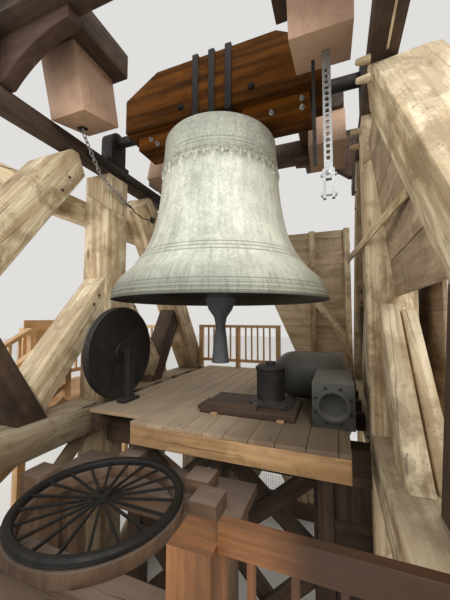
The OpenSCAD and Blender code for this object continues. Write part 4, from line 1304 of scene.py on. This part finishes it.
class BELLFRAME_OT_fittings(bpy.types.Operator):
    """Adds the chain and its strap, bolts, laths, guard mesh, nails, pegs and the panel on the gallery"""

    bl_idname = "bellframe.fittings"
    bl_label = "Fittings"

    def execute(self, context):
        look = context.scene.bell_frame_fittings
        hoisting_chain(look)
        chain_strap()
        plate_angle()
        stock_bolts()
        hanger_fork()
        guard_mesh(look)
        deck_nails(look)
        machine_bolts()
        platform_wood()
        laths()
        joint_pegs(look)
        gallery_panel()
        return {"FINISHED"}


# Stage, camera and light


class BellFrameStage(bpy.types.PropertyGroup):
    floor_tone: bpy.props.FloatVectorProperty(
        name="Floor", description="Colour of the floor and of the world behind it", size=3, subtype="COLOR",
        default=(0.83, 0.82, 0.80))
    lens: bpy.props.FloatProperty(
        name="Lens", description="Focal length of the camera", default=17.4, unit="CAMERA")
    eye: bpy.props.FloatVectorProperty(
        name="Eye", description="Place of the camera, its height counted from the lip of the bell", size=3,
        subtype="TRANSLATION", unit="LENGTH", default=(1.37, -3.41, -0.213))
    pitch: bpy.props.FloatProperty(
        name="Pitch", description="How far the camera looks up", subtype="ANGLE", unit="ROTATION",
        default=math.radians(3.64))
    turn: bpy.props.FloatProperty(
        name="Turn", description="How far the camera is turned to the left", subtype="ANGLE", unit="ROTATION",
        default=math.radians(21.0))


# Lamps: name, place, power in watts and size
LAMPS = (("key", (5.5, -9.0, 9.5), 900, 5.0), ("fill", (-8.0, -6.0, 6.0), 350, 6.0))


class BELLFRAME_OT_stage(bpy.types.Operator):
    """Lays the floor and sets the lamps, the world and the camera"""

    bl_idname = "bellframe.stage"
    bl_label = "Stage"

    def execute(self, context):
        look = context.scene.bell_frame_stage
        floor = add_shape(bpy.ops.mesh.primitive_plane_add, size=120)
        floor.name = "floor"
        material = bpy.data.materials.new("floor")
        material.use_nodes = True
        shader = material.node_tree.nodes["Principled BSDF"]
        shader.inputs["Base Color"].default_value = (*look.floor_tone, 1)
        shader.inputs["Roughness"].default_value = 0.9
        floor.data.materials.append(material)
        world = bpy.data.worlds.new("studio")
        bpy.context.scene.world = world
        world.use_nodes = True
        world.node_tree.nodes["Background"].inputs["Color"].default_value = (*look.floor_tone, 1)
        world.node_tree.nodes["Background"].inputs["Strength"].default_value = 0.9
        for name, place, power, size in LAMPS:
            clear_selection()
            bpy.ops.object.light_add(type="AREA", location=place)
            lamp = bpy.context.object
            lamp.name = name
            lamp.data.energy = power
            lamp.data.size = size
            aim = Vector((0, 0, LIP_Z + 0.5)) - Vector(place)
            lamp.rotation_euler = aim.to_track_quat("-Z", "Y").to_euler()
        clear_selection()
        x, y, z = look.eye
        bpy.ops.object.camera_add(location=(x, y, LIP_Z + z),
                                  rotation=(math.pi / 2 + look.pitch, 0, look.turn))
        camera = bpy.context.object
        camera.data.sensor_fit = "VERTICAL"
        camera.data.sensor_height = 36
        camera.data.lens = look.lens
        camera.data.clip_start = 0.02
        camera.data.clip_end = 200
        bpy.context.scene.camera = camera
        bpy.context.scene.view_settings.view_transform = "Standard"
        return {"FINISHED"}


# Panel, and what runs the file


GROUPS = {"bell_frame_timber": BellFrameTimber, "bell_frame_boards": BellFrameBoards,
          "bell_frame_bell": BellFrameBell, "bell_frame_fittings": BellFrameFittings,
          "bell_frame_stage": BellFrameStage}
STEPS = (BELLFRAME_OT_great_timbers, BELLFRAME_OT_ironwork, BELLFRAME_OT_boards,
         BELLFRAME_OT_bell, BELLFRAME_OT_crown, BELLFRAME_OT_fittings, BELLFRAME_OT_stage)


class BELLFRAME_PT_pieces(bpy.types.Panel):
    """Lists the pieces and their settings"""

    bl_idname = "BELLFRAME_PT_pieces"
    bl_label = "Bell Frame"
    bl_space_type = "VIEW_3D"
    bl_region_type = "UI"
    bl_category = "Bell Frame"

    def draw(self, context):
        for step in STEPS:
            self.layout.operator(step.bl_idname)
        for name, group in GROUPS.items():
            box = self.layout.box()
            for key in group.__annotations__:
                box.prop(getattr(context.scene, name), key)


classes = (*GROUPS.values(), *STEPS, BELLFRAME_PT_pieces)


def register():
    for c in classes:
        bpy.utils.register_class(c)
    for name, group in GROUPS.items():
        setattr(bpy.types.Scene, name, bpy.props.PointerProperty(type=group))


def unregister():
    for name in GROUPS:
        delattr(bpy.types.Scene, name)
    for c in reversed(classes):
        bpy.utils.unregister_class(c)


def main():
    register()
    bpy.ops.bellframe.great_timbers()
    bpy.ops.bellframe.ironwork()
    bpy.ops.bellframe.boards()
    bpy.ops.bellframe.bell()
    bpy.ops.bellframe.crown()
    bpy.ops.bellframe.fittings()
    bpy.ops.bellframe.stage()


if __name__ == "__main__":
    main()
